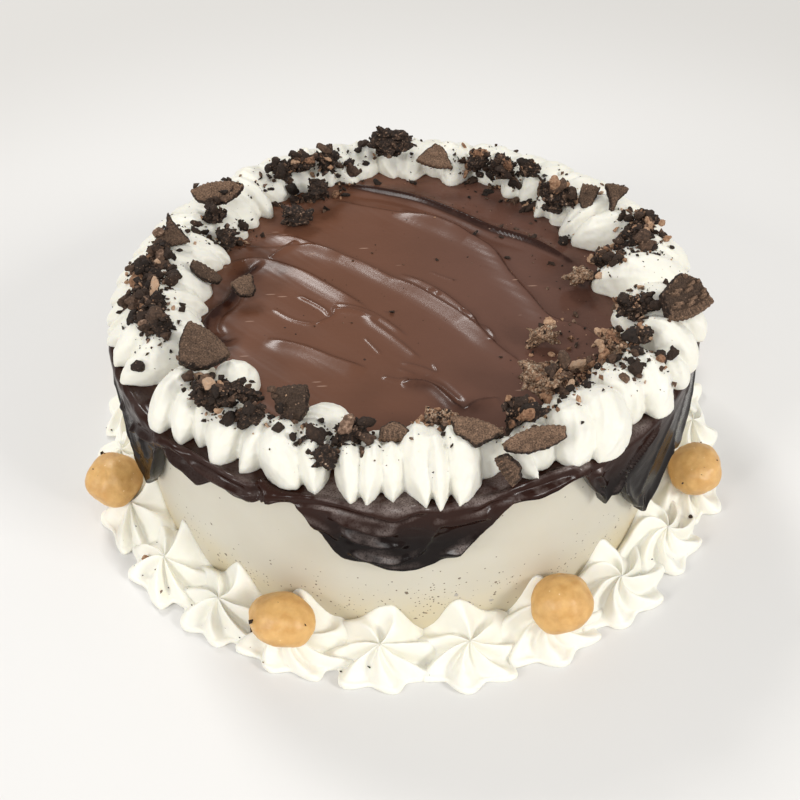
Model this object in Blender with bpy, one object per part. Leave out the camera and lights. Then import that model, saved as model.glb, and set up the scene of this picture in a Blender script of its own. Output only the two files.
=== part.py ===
"""Round ice cream cake: a smooth frozen body under a poured fudge coat with hanging drips,
a border of piped cream shells round the top, a ring of piped cream stars round the foot,
eight balls of cookie dough, and broken chocolate cookies strewn over the border.

Frame: origin at the centre of the cake's underside, +Z up, -Y the front. Azimuths are in
degrees, 0 at the front and 90 to the right. Sizes are in millimetres and become metres
where the points are made.
"""

import math

import bmesh
import bpy
import numpy as np
from mathutils import Matrix, Vector

MM = 0.001
GAP = 0.3

# Frozen body
BODY_RADIUS = 101.6
BODY_HEIGHT = 66.4
BODY_EDGE = 1.2
BODY_SIDES = 60

# Fudge coat: a thin top, a rounded rim and a hanging skirt with an uneven lower edge
FUDGE_TOP = 69.0
FUDGE_RIM_RADIUS = 105.7
FUDGE_RIM_ROUND = 2.6
FUDGE_LEAST_HANG = 65.0
FUDGE_LIP = 1.5
FUDGE_LIP_TUCK = 1.2
FUDGE_LIP_INNER = 0.9
FUDGE_FLAT_INSET = 2.0
FUDGE_ROUND_OUT = 0.72
FUDGE_ROUND_DOWN = 0.28
FUDGE_COLUMNS = 90
# each drip: azimuth, how far it hangs below the least hang, half width in degrees
FUDGE_DRIPS = (
    (358.5, 24.0, 18.0),
    (349.0, 17.0, 6.0),
    (37.0, 15.0, 7.0),
    (49.5, 39.0, 13.0),
    (65.0, 33.0, 15.0),
    (90.0, 12.0, 14.0),
    (108.0, 27.0, 11.0),
    (137.0, 16.0, 16.0),
    (165.0, 32.0, 12.0),
    (190.0, 10.0, 13.0),
    (211.0, 24.0, 11.0),
    (238.0, 17.0, 15.0),
    (262.0, 29.0, 12.0),
    (281.0, 12.0, 12.0),
    (297.5, 37.0, 13.5),
    (318.0, 7.0, 9.0),
    (330.0, 3.5, 6.0),
)

# Border of piped shells on the rim
SHELL_BASE = FUDGE_TOP + GAP
SHELL_INNER = 73.0
SHELL_TIP = 104.3
SHELL_HEIGHT = 14.2
SHELL_CUT_DEPTH = 1.5
SHELL_NOTCH = 5.0
SHELL_VALLEY = 0.56
SHELL_FLANK = 0.74
SHELL_FLANK_SIDE = 0.8
SHELL_END_HEIGHT = 0.4
SHELL_INNER_POINT = 0.6
SHELL_STATIONS = (0.0, 0.14, 0.42, 0.76, 1.0)
# slab that levels the shells' feet
SLAB_WIDTH = 400.0
SLAB_DEPTH = 40.0
# each shell: azimuth, number of lobes, change of reach, height share, spread share
SHELLS = (
    (4.2, 3, 1.2, 1.04, 1.0),
    (17.5, 2, -4.0, 0.84, 0.95),
    (30.5, 2, 0.5, 1.0, 1.08),
    (46.5, 2, 0.5, 0.94, 1.05),
    (62.5, 2, 0.5, 1.0, 1.08),
    (77.5, 2, 3.0, 0.96, 1.05),
    (91.0, 2, 3.0, 1.0, 1.0),
    (104.0, 3, 1.0, 0.94, 1.0),
    (116.5, 2, 0.5, 1.0, 1.0),
    (129.0, 3, 0.0, 0.94, 1.0),
    (141.5, 2, 0.0, 0.92, 1.0),
    (154.0, 3, -0.5, 0.86, 1.0),
    (166.5, 2, 0.0, 0.84, 1.0),
    (179.0, 3, 0.0, 0.86, 1.0),
    (191.5, 2, 0.0, 0.9, 1.0),
    (204.0, 3, 0.0, 0.94, 1.0),
    (216.5, 2, 0.0, 1.04, 1.0),
    (229.0, 3, 0.5, 0.98, 1.0),
    (241.5, 2, 1.0, 1.0, 1.0),
    (254.0, 3, 1.0, 0.94, 1.0),
    (266.5, 2, 1.5, 0.98, 1.0),
    (279.0, 3, 1.5, 0.94, 1.0),
    (291.0, 2, 1.5, 0.98, 1.0),
    (303.0, 3, 0.5, 0.94, 0.98),
    (315.0, 2, 0.0, 1.0, 1.0),
    (327.2, 2, -0.5, 1.0, 1.0),
    (339.8, 2, 0.5, 1.04, 1.0),
    (352.2, 3, 0.5, 0.92, 0.82),
)

# Stars round the foot
STAR_COUNT = 24
STAR_FIRST = 9.0
STAR_RADIUS = 112.3
STAR_PEAK = 14.2
STAR_REACH_OUT = 12.8
STAR_REACH_SIDE = 18.6
STAR_VALLEY_REACH = 0.8
STAR_VALLEY_DEPTH = 2.8
STAR_FOOT = 0.6
STAR_RIDGES = 7
STAR_COLUMNS_PER_RIDGE = 2
STAR_OVERCUT = 1.0
WALL_CUT_SIDES = 120
WALL_CUT_DEPTH = 200.0
STAR_TWIST = 0.55
STAR_CLIMB = 12.5
STAR_CLIMB_HALF_WIDTH = 7.5
STAR_RINGS = (0.42, 0.78, 1.0)

# Balls of dough
BALL_RADIUS = 11.2
BALL_HEIGHT = 17.6
BALL_SIDES = (11, 7)
BALL_CUT_SIDES = (9, 6)
BALL_CUT_GROW = 1.1
# each ball: azimuth, distance from the axis
BALLS = (
    (25.0, 113.3),
    (67.3, 113.4),
    (113.0, 114.0),
    (159.5, 113.6),
    (203.0, 114.4),
    (248.5, 113.5),
    (290.0, 115.6),
    (337.5, 113.4),
)

# Broken cookies: a wafer is a piece of a round cookie with its ribbed rim, a lump is crumb held by filling
COOKIE_RADIUS = 22.5
RIB_DEPTH = 0.45
RIB_COUNT = 6
BREAK_POINTS = 4
# levels through a wafer's thickness, with the share of its outline there
WAFER_LEVELS = ((-0.5, 0.9), (0.05, 1.0), (0.5, 0.92))
CUT_GROW = 0.45
# each wafer: name, azimuth, distance and height of its middle, share of the rim in degrees, depth, taper,
# thickness, azimuth and elevation that its face looks to, turn of the rim within the face
WAFERS = (
    ("lens", 239.0, 80.1, 87.0, 56.0, 9.6, 0.74, 4.2, 4.0, 48.0, 3.0),
    ("wedge", 256.7, 86.6, 85.6, 36.0, 12.5, 0.16, 4.0, 12.0, 36.0, 176.0),
    ("flat_oval", 305.3, 81.6, 83.6, 48.0, 15.0, 0.72, 4.2, 22.0, 60.0, -58.0),
    ("dark_plate", 334.0, 81.0, 82.8, 30.0, 11.4, 0.85, 4.8, 352.0, 44.0, 12.0),
    ("ribbed_edge", 357.1, 84.2, 79.4, 28.0, 6.2, 0.8, 5.2, 0.0, 62.0, 180.0),
    ("flat_chip", 12.2, 90.6, 83.0, 44.0, 8.6, 0.6, 3.8, 352.0, 58.0, -12.0),
    ("oblong", 21.6, 99.2, 82.7, 52.0, 7.8, 0.9, 3.8, 8.0, 50.0, 8.0),
    ("hanging_edge", 16.6, 102.2, 77.0, 26.0, 6.4, 0.8, 4.8, 345.0, 36.0, 132.0),
    ("big_rim", 71.4, 97.6, 86.0, 46.0, 15.0, 0.8, 5.0, 18.0, 52.0, -125.0),
    ("upright_wedge", 111.2, 85.8, 85.4, 24.0, 10.8, 0.22, 4.0, 4.0, 36.0, -16.0),
    ("upright_blade", 116.4, 79.2, 83.0, 18.0, 11.0, 0.8, 3.8, 344.0, 34.0, -8.0),
    ("back_chip", 168.1, 74.0, 81.8, 40.0, 10.2, 0.5, 3.8, 2.0, 44.0, 165.0),
    ("fudge_chip", 272.7, 56.3, 74.6, 22.0, 9.6, 0.7, 3.2, 8.0, 56.0, 20.0),
    ("inner_dark", 267.8, 70.8, 77.8, 34.0, 5.8, 0.9, 4.6, 20.0, 46.0, -48.0),
)
# each lump: name, azimuth, distance and height of its middle, half sizes to the right, to the back and up
LUMPS = (
    ("dark_heap", 320.4, 88.6, 82.8, 11.4, 4.8, 4.6),
    ("front_lump", 348.4, 84.4, 79.6, 6.2, 4.4, 4.2),
    ("tan_heap", 7.2, 77.8, 77.4, 7.0, 4.4, 3.9),
    ("right_heap", 24.4, 85.2, 79.6, 6.8, 4.6, 4.4),
    ("large_tan", 36.2, 74.2, 77.8, 9.6, 7.0, 7.0),
    ("fudge_tan", 54.2, 57.0, 73.1, 5.8, 4.0, 3.3),
    ("rim_dark", 70.6, 83.6, 80.2, 7.8, 4.4, 4.4),
    ("side_tan", 89.2, 63.4, 73.2, 4.6, 4.2, 3.4),
    ("back_chunk", 124.2, 73.0, 80.0, 7.0, 5.6, 6.2),
    ("crown", 182.6, 78.4, 84.8, 9.4, 5.4, 6.8),
    ("left_dark", 221.9, 60.8, 73.3, 6.6, 4.0, 3.4),
)
CRUMB_FLATNESS = 0.82
# crumb heaps fused to the border: azimuth, distance, height of the middle, size
BORDER_CRUMBS = (
    (55.2, 80.9, 80.4, 5.2),
    (59.4, 88.4, 82.0, 3.6),
    (93.6, 73.0, 77.0, 4.0),
    (96.0, 86.0, 82.0, 4.4),
    (101.0, 91.5, 82.6, 5.0),
    (139.0, 78.0, 82.2, 3.8),
    (147.0, 75.0, 80.8, 4.8),
    (155.0, 76.0, 80.4, 4.4),
    (202.0, 77.0, 81.6, 4.6),
    (209.0, 79.0, 82.2, 4.8),
    (208.0, 67.5, 75.6, 4.2),
    (216.0, 79.0, 82.2, 4.0),
    (244.4, 77.6, 82.0, 4.2),
    (248.6, 70.0, 77.6, 4.2),
    (263.5, 88.0, 82.0, 4.6),
    (270.5, 91.0, 81.4, 4.4),
    (277.5, 90.0, 82.0, 4.6),
    (284.5, 88.5, 82.0, 4.0),
    (292.0, 87.0, 82.0, 3.8),
    (328.6, 90.4, 82.2, 3.4),
    (344.4, 95.4, 78.8, 4.0),
)


def clear_scene():
    for item in list(bpy.data.objects):
        bpy.data.objects.remove(item, do_unlink=True)


def make_collection(name):
    group = bpy.data.collections.new(name)
    bpy.context.scene.collection.children.link(group)
    return group


def material(name, colour, roughness, metallic=0.0):
    mat = bpy.data.materials.new(name)
    mat.use_nodes = True
    shader = mat.node_tree.nodes["Principled BSDF"]
    shader.inputs["Base Color"].default_value = (*colour, 1.0)
    shader.inputs["Roughness"].default_value = roughness
    shader.inputs["Metallic"].default_value = metallic
    return mat


def at(azimuth, radius, height):
    """The point at an azimuth, a distance from the axis and a height."""
    turn = math.radians(azimuth)
    return Vector((radius * math.sin(turn), -radius * math.cos(turn), height)) * MM


def turn_gap(first, second):
    """Signed difference of two azimuths, in degrees."""
    return (first - second + 180.0) % 360.0 - 180.0


def outward_frame(azimuth, radius, height):
    """Local frame with X to the outside, Y along the rim and Z up."""
    spin = Matrix.Rotation(math.radians(azimuth - 90.0), 4, "Z")
    return Matrix.Translation(at(azimuth, radius, height)) @ spin


def finish(name, bm, group, mat, smooth=True):
    bmesh.ops.remove_doubles(bm, verts=bm.verts, dist=0.00001)
    bmesh.ops.triangulate(bm, faces=bm.faces)
    bmesh.ops.recalc_face_normals(bm, faces=bm.faces)
    for face in bm.faces:
        face.smooth = smooth
    mesh = bpy.data.meshes.new(name)
    bm.to_mesh(mesh)
    bm.free()
    mesh.materials.append(mat)
    item = bpy.data.objects.new(name, mesh)
    group.objects.link(item)
    return item


def boolean(item, operation, operand, solver="EXACT", whole_collection=False):
    """Joins or cuts with one object or one collection, and applies it."""
    step = item.modifiers.new("boolean", "BOOLEAN")
    step.operation = operation
    step.solver = solver
    if whole_collection:
        step.operand_type = "COLLECTION"
        step.collection = operand
    else:
        step.object = operand
    graph = bpy.context.evaluated_depsgraph_get()
    mesh = bpy.data.meshes.new_from_object(item.evaluated_get(graph))
    item.modifiers.clear()
    old = item.data
    item.data = mesh
    bpy.data.meshes.remove(old)


def remove_all(items):
    for item in list(items):
        bpy.data.objects.remove(item, do_unlink=True)


def slice_off(bm, point, normal):
    """Cuts away what lies on the normal's side of a plane and closes the cut."""
    geometry = bm.verts[:] + bm.edges[:] + bm.faces[:]
    cut = bmesh.ops.bisect_plane(bm, geom=geometry, plane_co=point, plane_no=normal, clear_outer=True)
    edges = [part for part in cut["geom_cut"] if isinstance(part, bmesh.types.BMEdge)]
    if edges:
        bmesh.ops.holes_fill(bm, edges=[edge for edge in edges if edge.is_boundary])


def ring_loft(bm, rings):
    """Skins closed rings of equal count, with a point allowed at either end."""
    rows = []
    for ring in rings:
        rows.append([bm.verts.new(point) for point in ring])
    for low, high in zip(rows[:-1], rows[1:]):
        if len(low) == 1:
            for k in range(len(high)):
                bm.faces.new((low[0], high[k], high[(k + 1) % len(high)]))
        elif len(high) == 1:
            for k in range(len(low)):
                bm.faces.new((low[(k + 1) % len(low)], low[k], high[0]))
        else:
            count = len(low)
            for k in range(count):
                bm.faces.new((low[k], high[k], high[(k + 1) % count], low[(k + 1) % count]))
    return rows


def build_body(group, mat):
    bm = bmesh.new()
    bmesh.ops.create_cone(
        bm,
        cap_ends=True,
        segments=BODY_SIDES,
        radius1=BODY_RADIUS * MM,
        radius2=BODY_RADIUS * MM,
        depth=BODY_HEIGHT * MM,
    )
    bmesh.ops.translate(bm, verts=bm.verts, vec=(0.0, 0.0, BODY_HEIGHT * MM / 2))
    top_edges = [edge for edge in bm.edges if all(v.co.z > (BODY_HEIGHT - 0.1) * MM for v in edge.verts)]
    bmesh.ops.bevel(bm, geom=top_edges, offset=BODY_EDGE * MM, segments=1, affect="EDGES")
    return finish("ice_cream_body", bm, group, mat)


def fudge_edge(azimuth):
    """Height of the skirt's lower edge: the least hang less a soft maximum of the drips."""
    total = 0.0
    for where, depth, half_width in FUDGE_DRIPS:
        x = turn_gap(azimuth, where) / half_width
        if abs(x) < 1.0:
            total += (depth * (1.0 - x * x) ** 1.25) ** 4
    hang = total**0.25
    ripple = 0.5 * math.sin(math.radians(azimuth * 9.0))
    ripple += 0.4 * math.sin(math.radians(azimuth * 17.0 + 40.0))
    return FUDGE_LEAST_HANG - hang + ripple * min(1.0, hang / 6.0)


def fudge_fold(azimuth, height):
    """Swell of the skirt's outer face: slanting folds that deepen down the drips."""
    low = fudge_edge(azimuth)
    hang = max(0.0, (FUDGE_TOP - height) / 30.0)
    near_edge = math.exp(-(((height - low) / 6.0) ** 2))
    fold = 0.55 * math.sin(math.radians(azimuth * 14.0) + height * 0.16)
    return 0.35 + hang * fold + 0.9 * near_edge * min(1.0, (FUDGE_TOP - low) / 20.0)


def build_fudge(group, mat):
    inner = BODY_RADIUS + GAP
    under = BODY_HEIGHT + GAP
    rim_top = FUDGE_RIM_RADIUS - FUDGE_RIM_ROUND
    shoulder = FUDGE_TOP - FUDGE_RIM_ROUND
    bend_radius = rim_top + FUDGE_ROUND_OUT * FUDGE_RIM_ROUND
    bend_height = FUDGE_TOP - FUDGE_ROUND_DOWN * FUDGE_RIM_ROUND
    rows = [[], [], [], [], [], [], [], [], [], []]
    for k in range(FUDGE_COLUMNS):
        azimuth = 360.0 * k / FUDGE_COLUMNS
        low = fudge_edge(azimuth)
        rows[0].append(at(azimuth, rim_top - FUDGE_FLAT_INSET, FUDGE_TOP))
        rows[1].append(at(azimuth, bend_radius, bend_height))
        for row, share in ((2, 0.0), (3, 0.35), (4, 0.7)):
            height = shoulder + (low + FUDGE_LIP * 0.6 - shoulder) * share
            rows[row].append(at(azimuth, FUDGE_RIM_RADIUS + share * fudge_fold(azimuth, height), height))
        lip = FUDGE_RIM_RADIUS + fudge_fold(azimuth, low)
        rows[5].append(at(azimuth, lip, low + FUDGE_LIP * 0.45))
        rows[6].append(at(azimuth, lip - FUDGE_LIP_TUCK, low))
        rows[7].append(at(azimuth, inner + FUDGE_LIP_INNER, low))
        rows[8].append(at(azimuth, inner, min(low + FUDGE_LIP, under - GAP)))
        rows[9].append(at(azimuth, inner, under))
    bm = bmesh.new()
    rings = [[at(0.0, 0.0, FUDGE_TOP)], *rows, [at(0.0, 0.0, under)]]
    ring_loft(bm, rings)
    return finish("fudge_coat", bm, group, mat)


def lobe_width(s):
    """Width of a lobe along its length: blunt at the inner end, drawn to a point at the tip."""
    return 1.91 * s**0.4 * (1.0 - s) ** 0.55


def lobe_rise(s):
    """Height of a lobe along its length."""
    return 2.0 * s**0.42 * (1.0 - s) ** 0.6


def lobe_layout(count):
    """Lateral middle, lateral tip, half width and height share of the lobes of one shell."""
    if count == 3:
        return ((-6.2, -4.8, 5.4, 0.92), (0.0, 0.2, 4.0, 1.0), (6.2, 5.2, 5.4, 0.92))
    return ((-5.4, -5.0, 6.4, 0.96), (5.2, 4.8, 6.6, 1.0))


def lobe_side(lateral, lateral_tip, s):
    """Sideways place of a lobe's crest along its length."""
    bow = math.sin(math.pi * min(1.0, s * 1.15)) ** 0.8
    return lateral * bow + (lateral_tip * s * s + 0.3 * lateral * (1.0 - s)) * (1.0 - bow)


def shell_columns(count):
    """Lines along a shell: its two edges, their flanks, the crests of its lobes and the valleys."""
    lobes = lobe_layout(count)
    first, last = lobes[0], lobes[-1]
    columns = [("edge", first, first, -1.0), ("flank", first, first, -SHELL_FLANK_SIDE)]
    columns.append(("crest", first, first, 0.0))
    for left, right in zip(lobes[:-1], lobes[1:]):
        columns.append(("valley", left, right, 0.0))
        columns.append(("crest", right, right, 0.0))
    columns += [("flank", last, last, SHELL_FLANK_SIDE), ("edge", last, last, 1.0)]
    return columns


def shell_point(frame, reach, rise, spread, column, s):
    kind, left, right, side = column
    lateral = spread * (left[0] + right[0]) / 2
    lateral_tip = spread * (left[1] + right[1]) / 2
    half_width = spread * (left[2] + right[2]) / 2
    length = SHELL_TIP + reach - SHELL_INNER - (SHELL_NOTCH if kind == "valley" else 0.0)
    y = lobe_side(lateral, lateral_tip, s) + side * half_width * lobe_width(s)
    height = SHELL_HEIGHT * rise * (left[3] + right[3]) / 2 * lobe_rise(s)
    z = height * {"edge": 0.0, "flank": SHELL_FLANK, "crest": 1.0, "valley": SHELL_VALLEY}[kind]
    if kind == "edge" or (kind == "valley" and s == 1.0):
        z = -SHELL_CUT_DEPTH
    elif s in (0.0, 1.0):
        z = SHELL_END_HEIGHT
    return frame @ (Vector((SHELL_INNER + length * s, y, z)) * MM)


def shell_mesh(bm, azimuth, count, reach, rise, spread):
    """One piped shell: a ribbed skin over a flat foot, its lobes ending in separate points."""
    frame = outward_frame(azimuth, 0.0, SHELL_BASE)
    columns = shell_columns(count)
    inner_reach = SHELL_INNER - SHELL_INNER_POINT
    inner = bm.verts.new(frame @ (Vector((inner_reach, 0.0, SHELL_END_HEIGHT)) * MM))
    inner_foot = bm.verts.new(frame @ (Vector((inner_reach, 0.0, -SHELL_CUT_DEPTH)) * MM))
    grid = []
    for column in columns:
        line = [shell_point(frame, reach, rise, spread, column, s) for s in SHELL_STATIONS[1:]]
        grid.append([bm.verts.new(point) for point in line])
    for left, right in zip(grid[:-1], grid[1:]):
        bm.faces.new((inner, left[0], right[0]))
        for k in range(len(left) - 1):
            bm.faces.new((left[k], left[k + 1], right[k + 1], right[k]))
    bm.faces.new((inner_foot, grid[0][0], inner))
    bm.faces.new((inner, grid[-1][0], inner_foot))
    ends = [line[-1] for line in grid]
    feet = []
    for column, end in zip(columns, ends):
        if column[0] in ("edge", "valley"):
            feet.append(end)
        else:
            drop = Vector((0.0, 0.0, (SHELL_END_HEIGHT + SHELL_CUT_DEPTH) * MM))
            feet.append(bm.verts.new(end.co - drop))
    for k in range(len(ends) - 1):
        corners = []
        for vert in (ends[k], feet[k], feet[k + 1], ends[k + 1]):
            if vert not in corners:
                corners.append(vert)
        if len(corners) > 2:
            bm.faces.new(corners)
    left_side = grid[0][:-1]
    right_side = grid[-1][:-1]
    outline = [inner_foot] + left_side + feet + right_side[::-1]
    bm.faces.new(outline)


def crumb_mesh(bm, centre, size, seed):
    """Small angular crumb of twenty faces."""
    rng = np.random.default_rng(seed)
    made = bmesh.ops.create_icosphere(bm, subdivisions=1, radius=1.0)
    spin = Matrix.Rotation(float(rng.uniform(0.0, 6.28)), 4, "Z")
    wide = size * float(rng.uniform(0.85, 1.15))
    deep = size * float(rng.uniform(0.85, 1.15))
    stretch = (wide, deep, size * CRUMB_FLATNESS)
    for vert in made["verts"]:
        factor = float(rng.uniform(0.86, 1.12))
        point = Vector([vert.co[i] * stretch[i] * factor * MM for i in range(3)])
        vert.co = centre + spin @ point


def build_border(group, cutters, mat):
    pieces = make_collection("border_pieces")
    border = None
    for azimuth, count, reach, rise, spread in SHELLS:
        bm = bmesh.new()
        shell_mesh(bm, azimuth, count, reach, rise, spread)
        if border is None:
            border = finish("top_cream_border", bm, group, mat)
        else:
            finish("shell", bm, pieces, mat)
    for number, (azimuth, radius, height, size) in enumerate(BORDER_CRUMBS):
        bm = bmesh.new()
        crumb_mesh(bm, at(azimuth, radius, height), size, 300 + number)
        finish("crumb", bm, pieces, mat, smooth=False)
    boolean(border, "UNION", pieces, solver="MANIFOLD", whole_collection=True)
    remove_all(pieces.objects)
    bpy.data.collections.remove(pieces)
    bm = bmesh.new()
    made = bmesh.ops.create_cube(bm, size=SLAB_WIDTH * MM)
    for vert in made["verts"]:
        vert.co.z = SHELL_BASE * MM if vert.co.z > 0.0 else (SHELL_BASE - SLAB_DEPTH) * MM
    slab = finish("border_base_cut", bm, cutters, mat)
    boolean(border, "DIFFERENCE", slab, solver="MANIFOLD")
    return border


def star_crest(column, per_ridge):
    """One on a ridge, falling to nought between two ridges."""
    phase = math.pi * (column % per_ridge) / per_ridge
    return 1.0 - math.sin(phase)


def star_point(azimuth, seed, column, per_ridge, t):
    """A point of a star: the ridges twist as they run out, and those at the wall climb it."""
    rng = np.random.default_rng(seed)
    phase = float(rng.uniform(-0.3, 0.3)) + math.pi
    twist = STAR_TWIST * float(rng.uniform(0.5, 1.3))
    peak = STAR_PEAK * float(rng.uniform(0.94, 1.05))
    reaches = rng.uniform(0.9, 1.08, STAR_RIDGES)
    crest = star_crest(column, per_ridge)
    ridge = (column + per_ridge // 2) // per_ridge % STAR_RIDGES
    turn = phase + 2.0 * math.pi * column / (per_ridge * STAR_RIDGES) + twist * (t - 1.0)
    reach = float(reaches[ridge]) * (STAR_VALLEY_REACH + (1.0 - STAR_VALLEY_REACH) * crest)
    u = STAR_REACH_OUT * reach * t * math.cos(turn)
    v = STAR_REACH_SIDE * reach * t * math.sin(turn)
    body = STAR_FOOT + (peak - STAR_FOOT) * (1.0 - t**1.35)
    hollow = STAR_VALLEY_DEPTH * (1.0 - crest) * math.sin(math.pi * min(1.0, t**0.9))
    toward_wall = min(1.0, max(0.0, -u / (STAR_RADIUS - BODY_RADIUS)))
    climb = STAR_CLIMB * toward_wall**1.4 * math.exp(-((v / STAR_CLIMB_HALF_WIDTH) ** 2))
    return Vector((u, v, body - hollow + climb)) * MM


def ball_mesh(bm, number, sides, grow):
    azimuth, radius = BALLS[number]
    rng = np.random.default_rng(40 + number)
    made = bmesh.ops.create_uvsphere(bm, u_segments=sides[0], v_segments=sides[1], radius=1.0)
    sizes = [BALL_RADIUS * float(rng.uniform(0.965, 1.0)) + grow for _ in range(3)]
    spin = Matrix.Rotation(float(rng.uniform(0.0, 3.1)), 4, "Z")
    for vert in made["verts"]:
        point = Vector([vert.co[i] * sizes[i] * MM for i in range(3)])
        vert.co = at(azimuth, radius, BALL_HEIGHT) + spin @ point


def build_balls(group, mat):
    for number in range(len(BALLS)):
        bm = bmesh.new()
        ball_mesh(bm, number, BALL_SIDES, 0.0)
        finish(f"dough_ball_{number + 1}", bm, group, mat)


def build_stars(group, cutters, mat):
    bm = bmesh.new()
    cut_radius = (BODY_RADIUS + GAP) * MM
    bmesh.ops.create_cone(
        bm,
        cap_ends=True,
        segments=WALL_CUT_SIDES,
        radius1=cut_radius,
        radius2=cut_radius,
        depth=WALL_CUT_DEPTH * MM,
    )
    wall = finish("wall_cut", bm, cutters, mat)
    ball_cuts = []
    for number in range(len(BALLS)):
        bm = bmesh.new()
        ball_mesh(bm, number, BALL_CUT_SIDES, BALL_CUT_GROW)
        ball_cuts.append(finish(f"ball_cut_{number + 1}", bm, cutters, mat))
    per_ridge = STAR_COLUMNS_PER_RIDGE
    columns = per_ridge * STAR_RIDGES
    step = 360.0 / STAR_COUNT
    for number in range(STAR_COUNT):
        azimuth = STAR_FIRST + step * number
        frame = outward_frame(azimuth, STAR_RADIUS, 0.0)
        seed = 60 + number
        rings = [[frame @ star_point(azimuth, seed, 0, per_ridge, 0.0)]]
        for t in STAR_RINGS:
            rings.append([frame @ star_point(azimuth, seed, k, per_ridge, t) for k in range(columns)])
        foot = [Vector((point.x, point.y, -STAR_OVERCUT * MM)) for point in rings[-1]]
        rings.append(foot)
        bm = bmesh.new()
        rows = ring_loft(bm, rings)
        bm.faces.new(rows[-1])
        slice_off(bm, Vector((0.0, 0.0, 0.0)), Vector((0.0, 0.0, -1.0)))
        for side in (-1.0, 1.0):
            edge_turn = azimuth + side * step / 2
            normal = at(edge_turn + side * 90.0, 1.0, 0.0).normalized()
            slice_off(bm, normal * (-GAP / 2 * MM), normal)
        star = finish(f"base_star_{number + 1:02d}", bm, group, mat)
        boolean(star, "DIFFERENCE", wall)
        for k, (ball_turn, _) in enumerate(BALLS):
            if abs(turn_gap(ball_turn, azimuth)) < 15.0:
                boolean(star, "DIFFERENCE", ball_cuts[k])


def wafer_outline(share, depth, taper, rng):
    """A broken piece of a round cookie: a ribbed arc of its rim and a jagged break."""
    points = []
    for k in range(RIB_COUNT + 1):
        turn = math.radians(share) * (k / RIB_COUNT - 0.5)
        radius = COOKIE_RADIUS - (RIB_DEPTH if k % 2 else 0.0)
        points.append((radius * math.cos(turn), radius * math.sin(turn)))
    half = COOKIE_RADIUS * math.sin(math.radians(share / 2))
    for k in range(BREAK_POINTS):
        side = 1.0 - 2.0 * k / (BREAK_POINTS - 1)
        inset = depth * float(rng.uniform(0.86, 1.06)) * (1.0 - 0.3 * side * side)
        jag = float(rng.uniform(-0.5, 0.5))
        points.append((COOKIE_RADIUS - inset, (half * side + jag) * taper))
    middle = COOKIE_RADIUS - depth / 2
    return [(x - middle, y) for x, y in points]


def face_frame(place, azimuth, elevation, spin):
    """Local frame: Z looks to an azimuth and elevation, X is turned from upright by a spin."""
    tilt = math.radians(elevation)
    look = at(azimuth, math.cos(tilt), math.sin(tilt)).normalized()
    upright = (Vector((0.0, 0.0, 1.0)) - look * look.z).normalized()
    right = upright.cross(look)
    turn = math.radians(spin)
    x_axis = upright * math.cos(turn) - right * math.sin(turn)
    y_axis = look.cross(x_axis)
    basis = Matrix((x_axis, y_axis, look)).transposed().to_4x4()
    return Matrix.Translation(place) @ basis


def wafer_mesh(bm, row, seed, grow):
    _, azimuth, radius, height, share, depth, taper, thickness, look, elevation, spin = row
    rng = np.random.default_rng(seed)
    outline = wafer_outline(share, depth, taper, rng)
    place = face_frame(at(azimuth, radius, height), look, elevation, spin)
    rings = []
    for level, shrink in WAFER_LEVELS:
        ring = []
        for x, y in outline:
            length = math.hypot(x, y)
            scale = (length * shrink + grow) / max(length, 0.001)
            z = level * (thickness + 2.0 * grow)
            ring.append(place @ (Vector((x * scale, y * scale, z)) * MM))
        rings.append(ring)
    rows = ring_loft(bm, rings)
    bm.faces.new(rows[0])
    bm.faces.new(rows[-1])


def lump_mesh(bm, row, seed, grow):
    _, azimuth, radius, height, right, back, up = row
    rng = np.random.default_rng(seed)
    made = bmesh.ops.create_icosphere(bm, subdivisions=2, radius=1.0)
    for vert in made["verts"]:
        factor = float(rng.uniform(0.84, 1.08))
        sizes = (right + grow, back + grow, up + grow)
        point = Vector([vert.co[i] * sizes[i] * factor * MM for i in range(3)])
        vert.co = at(azimuth, radius, height) + point


def build_cookies(group, cutters, mats, border):
    number = 0
    for rows, builder, seed in ((WAFERS, wafer_mesh, 500), (LUMPS, lump_mesh, 700)):
        for k, row in enumerate(rows):
            number += 1
            bm = bmesh.new()
            builder(bm, row, seed + k, 0.0)
            tan = "tan" in row[0]
            finish(f"cookie_{row[0]}", bm, group, mats[1 if tan else 0], smooth=False)
            bm = bmesh.new()
            builder(bm, row, seed + k, CUT_GROW)
            cut = finish(f"cookie_cut_{number:02d}", bm, cutters, mats[0])
            boolean(border, "DIFFERENCE", cut, solver="MANIFOLD")


def largest_part(item):
    """Keeps the largest of the separate shells and drops loose scraps."""
    bm = bmesh.new()
    bm.from_mesh(item.data)
    seen = set()
    shells = []
    for first in bm.verts:
        if first in seen:
            continue
        shell = []
        queue = [first]
        seen.add(first)
        while queue:
            vert = queue.pop()
            shell.append(vert)
            for edge in vert.link_edges:
                other = edge.other_vert(vert)
                if other not in seen:
                    seen.add(other)
                    queue.append(other)
        shells.append(shell)
    shells.sort(key=len)
    for shell in shells[:-1]:
        bmesh.ops.delete(bm, geom=shell, context="VERTS")
    bmesh.ops.dissolve_degenerate(bm, dist=0.00002, edges=bm.edges)
    bmesh.ops.triangulate(bm, faces=bm.faces)
    bm.to_mesh(item.data)
    bm.free()


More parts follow.
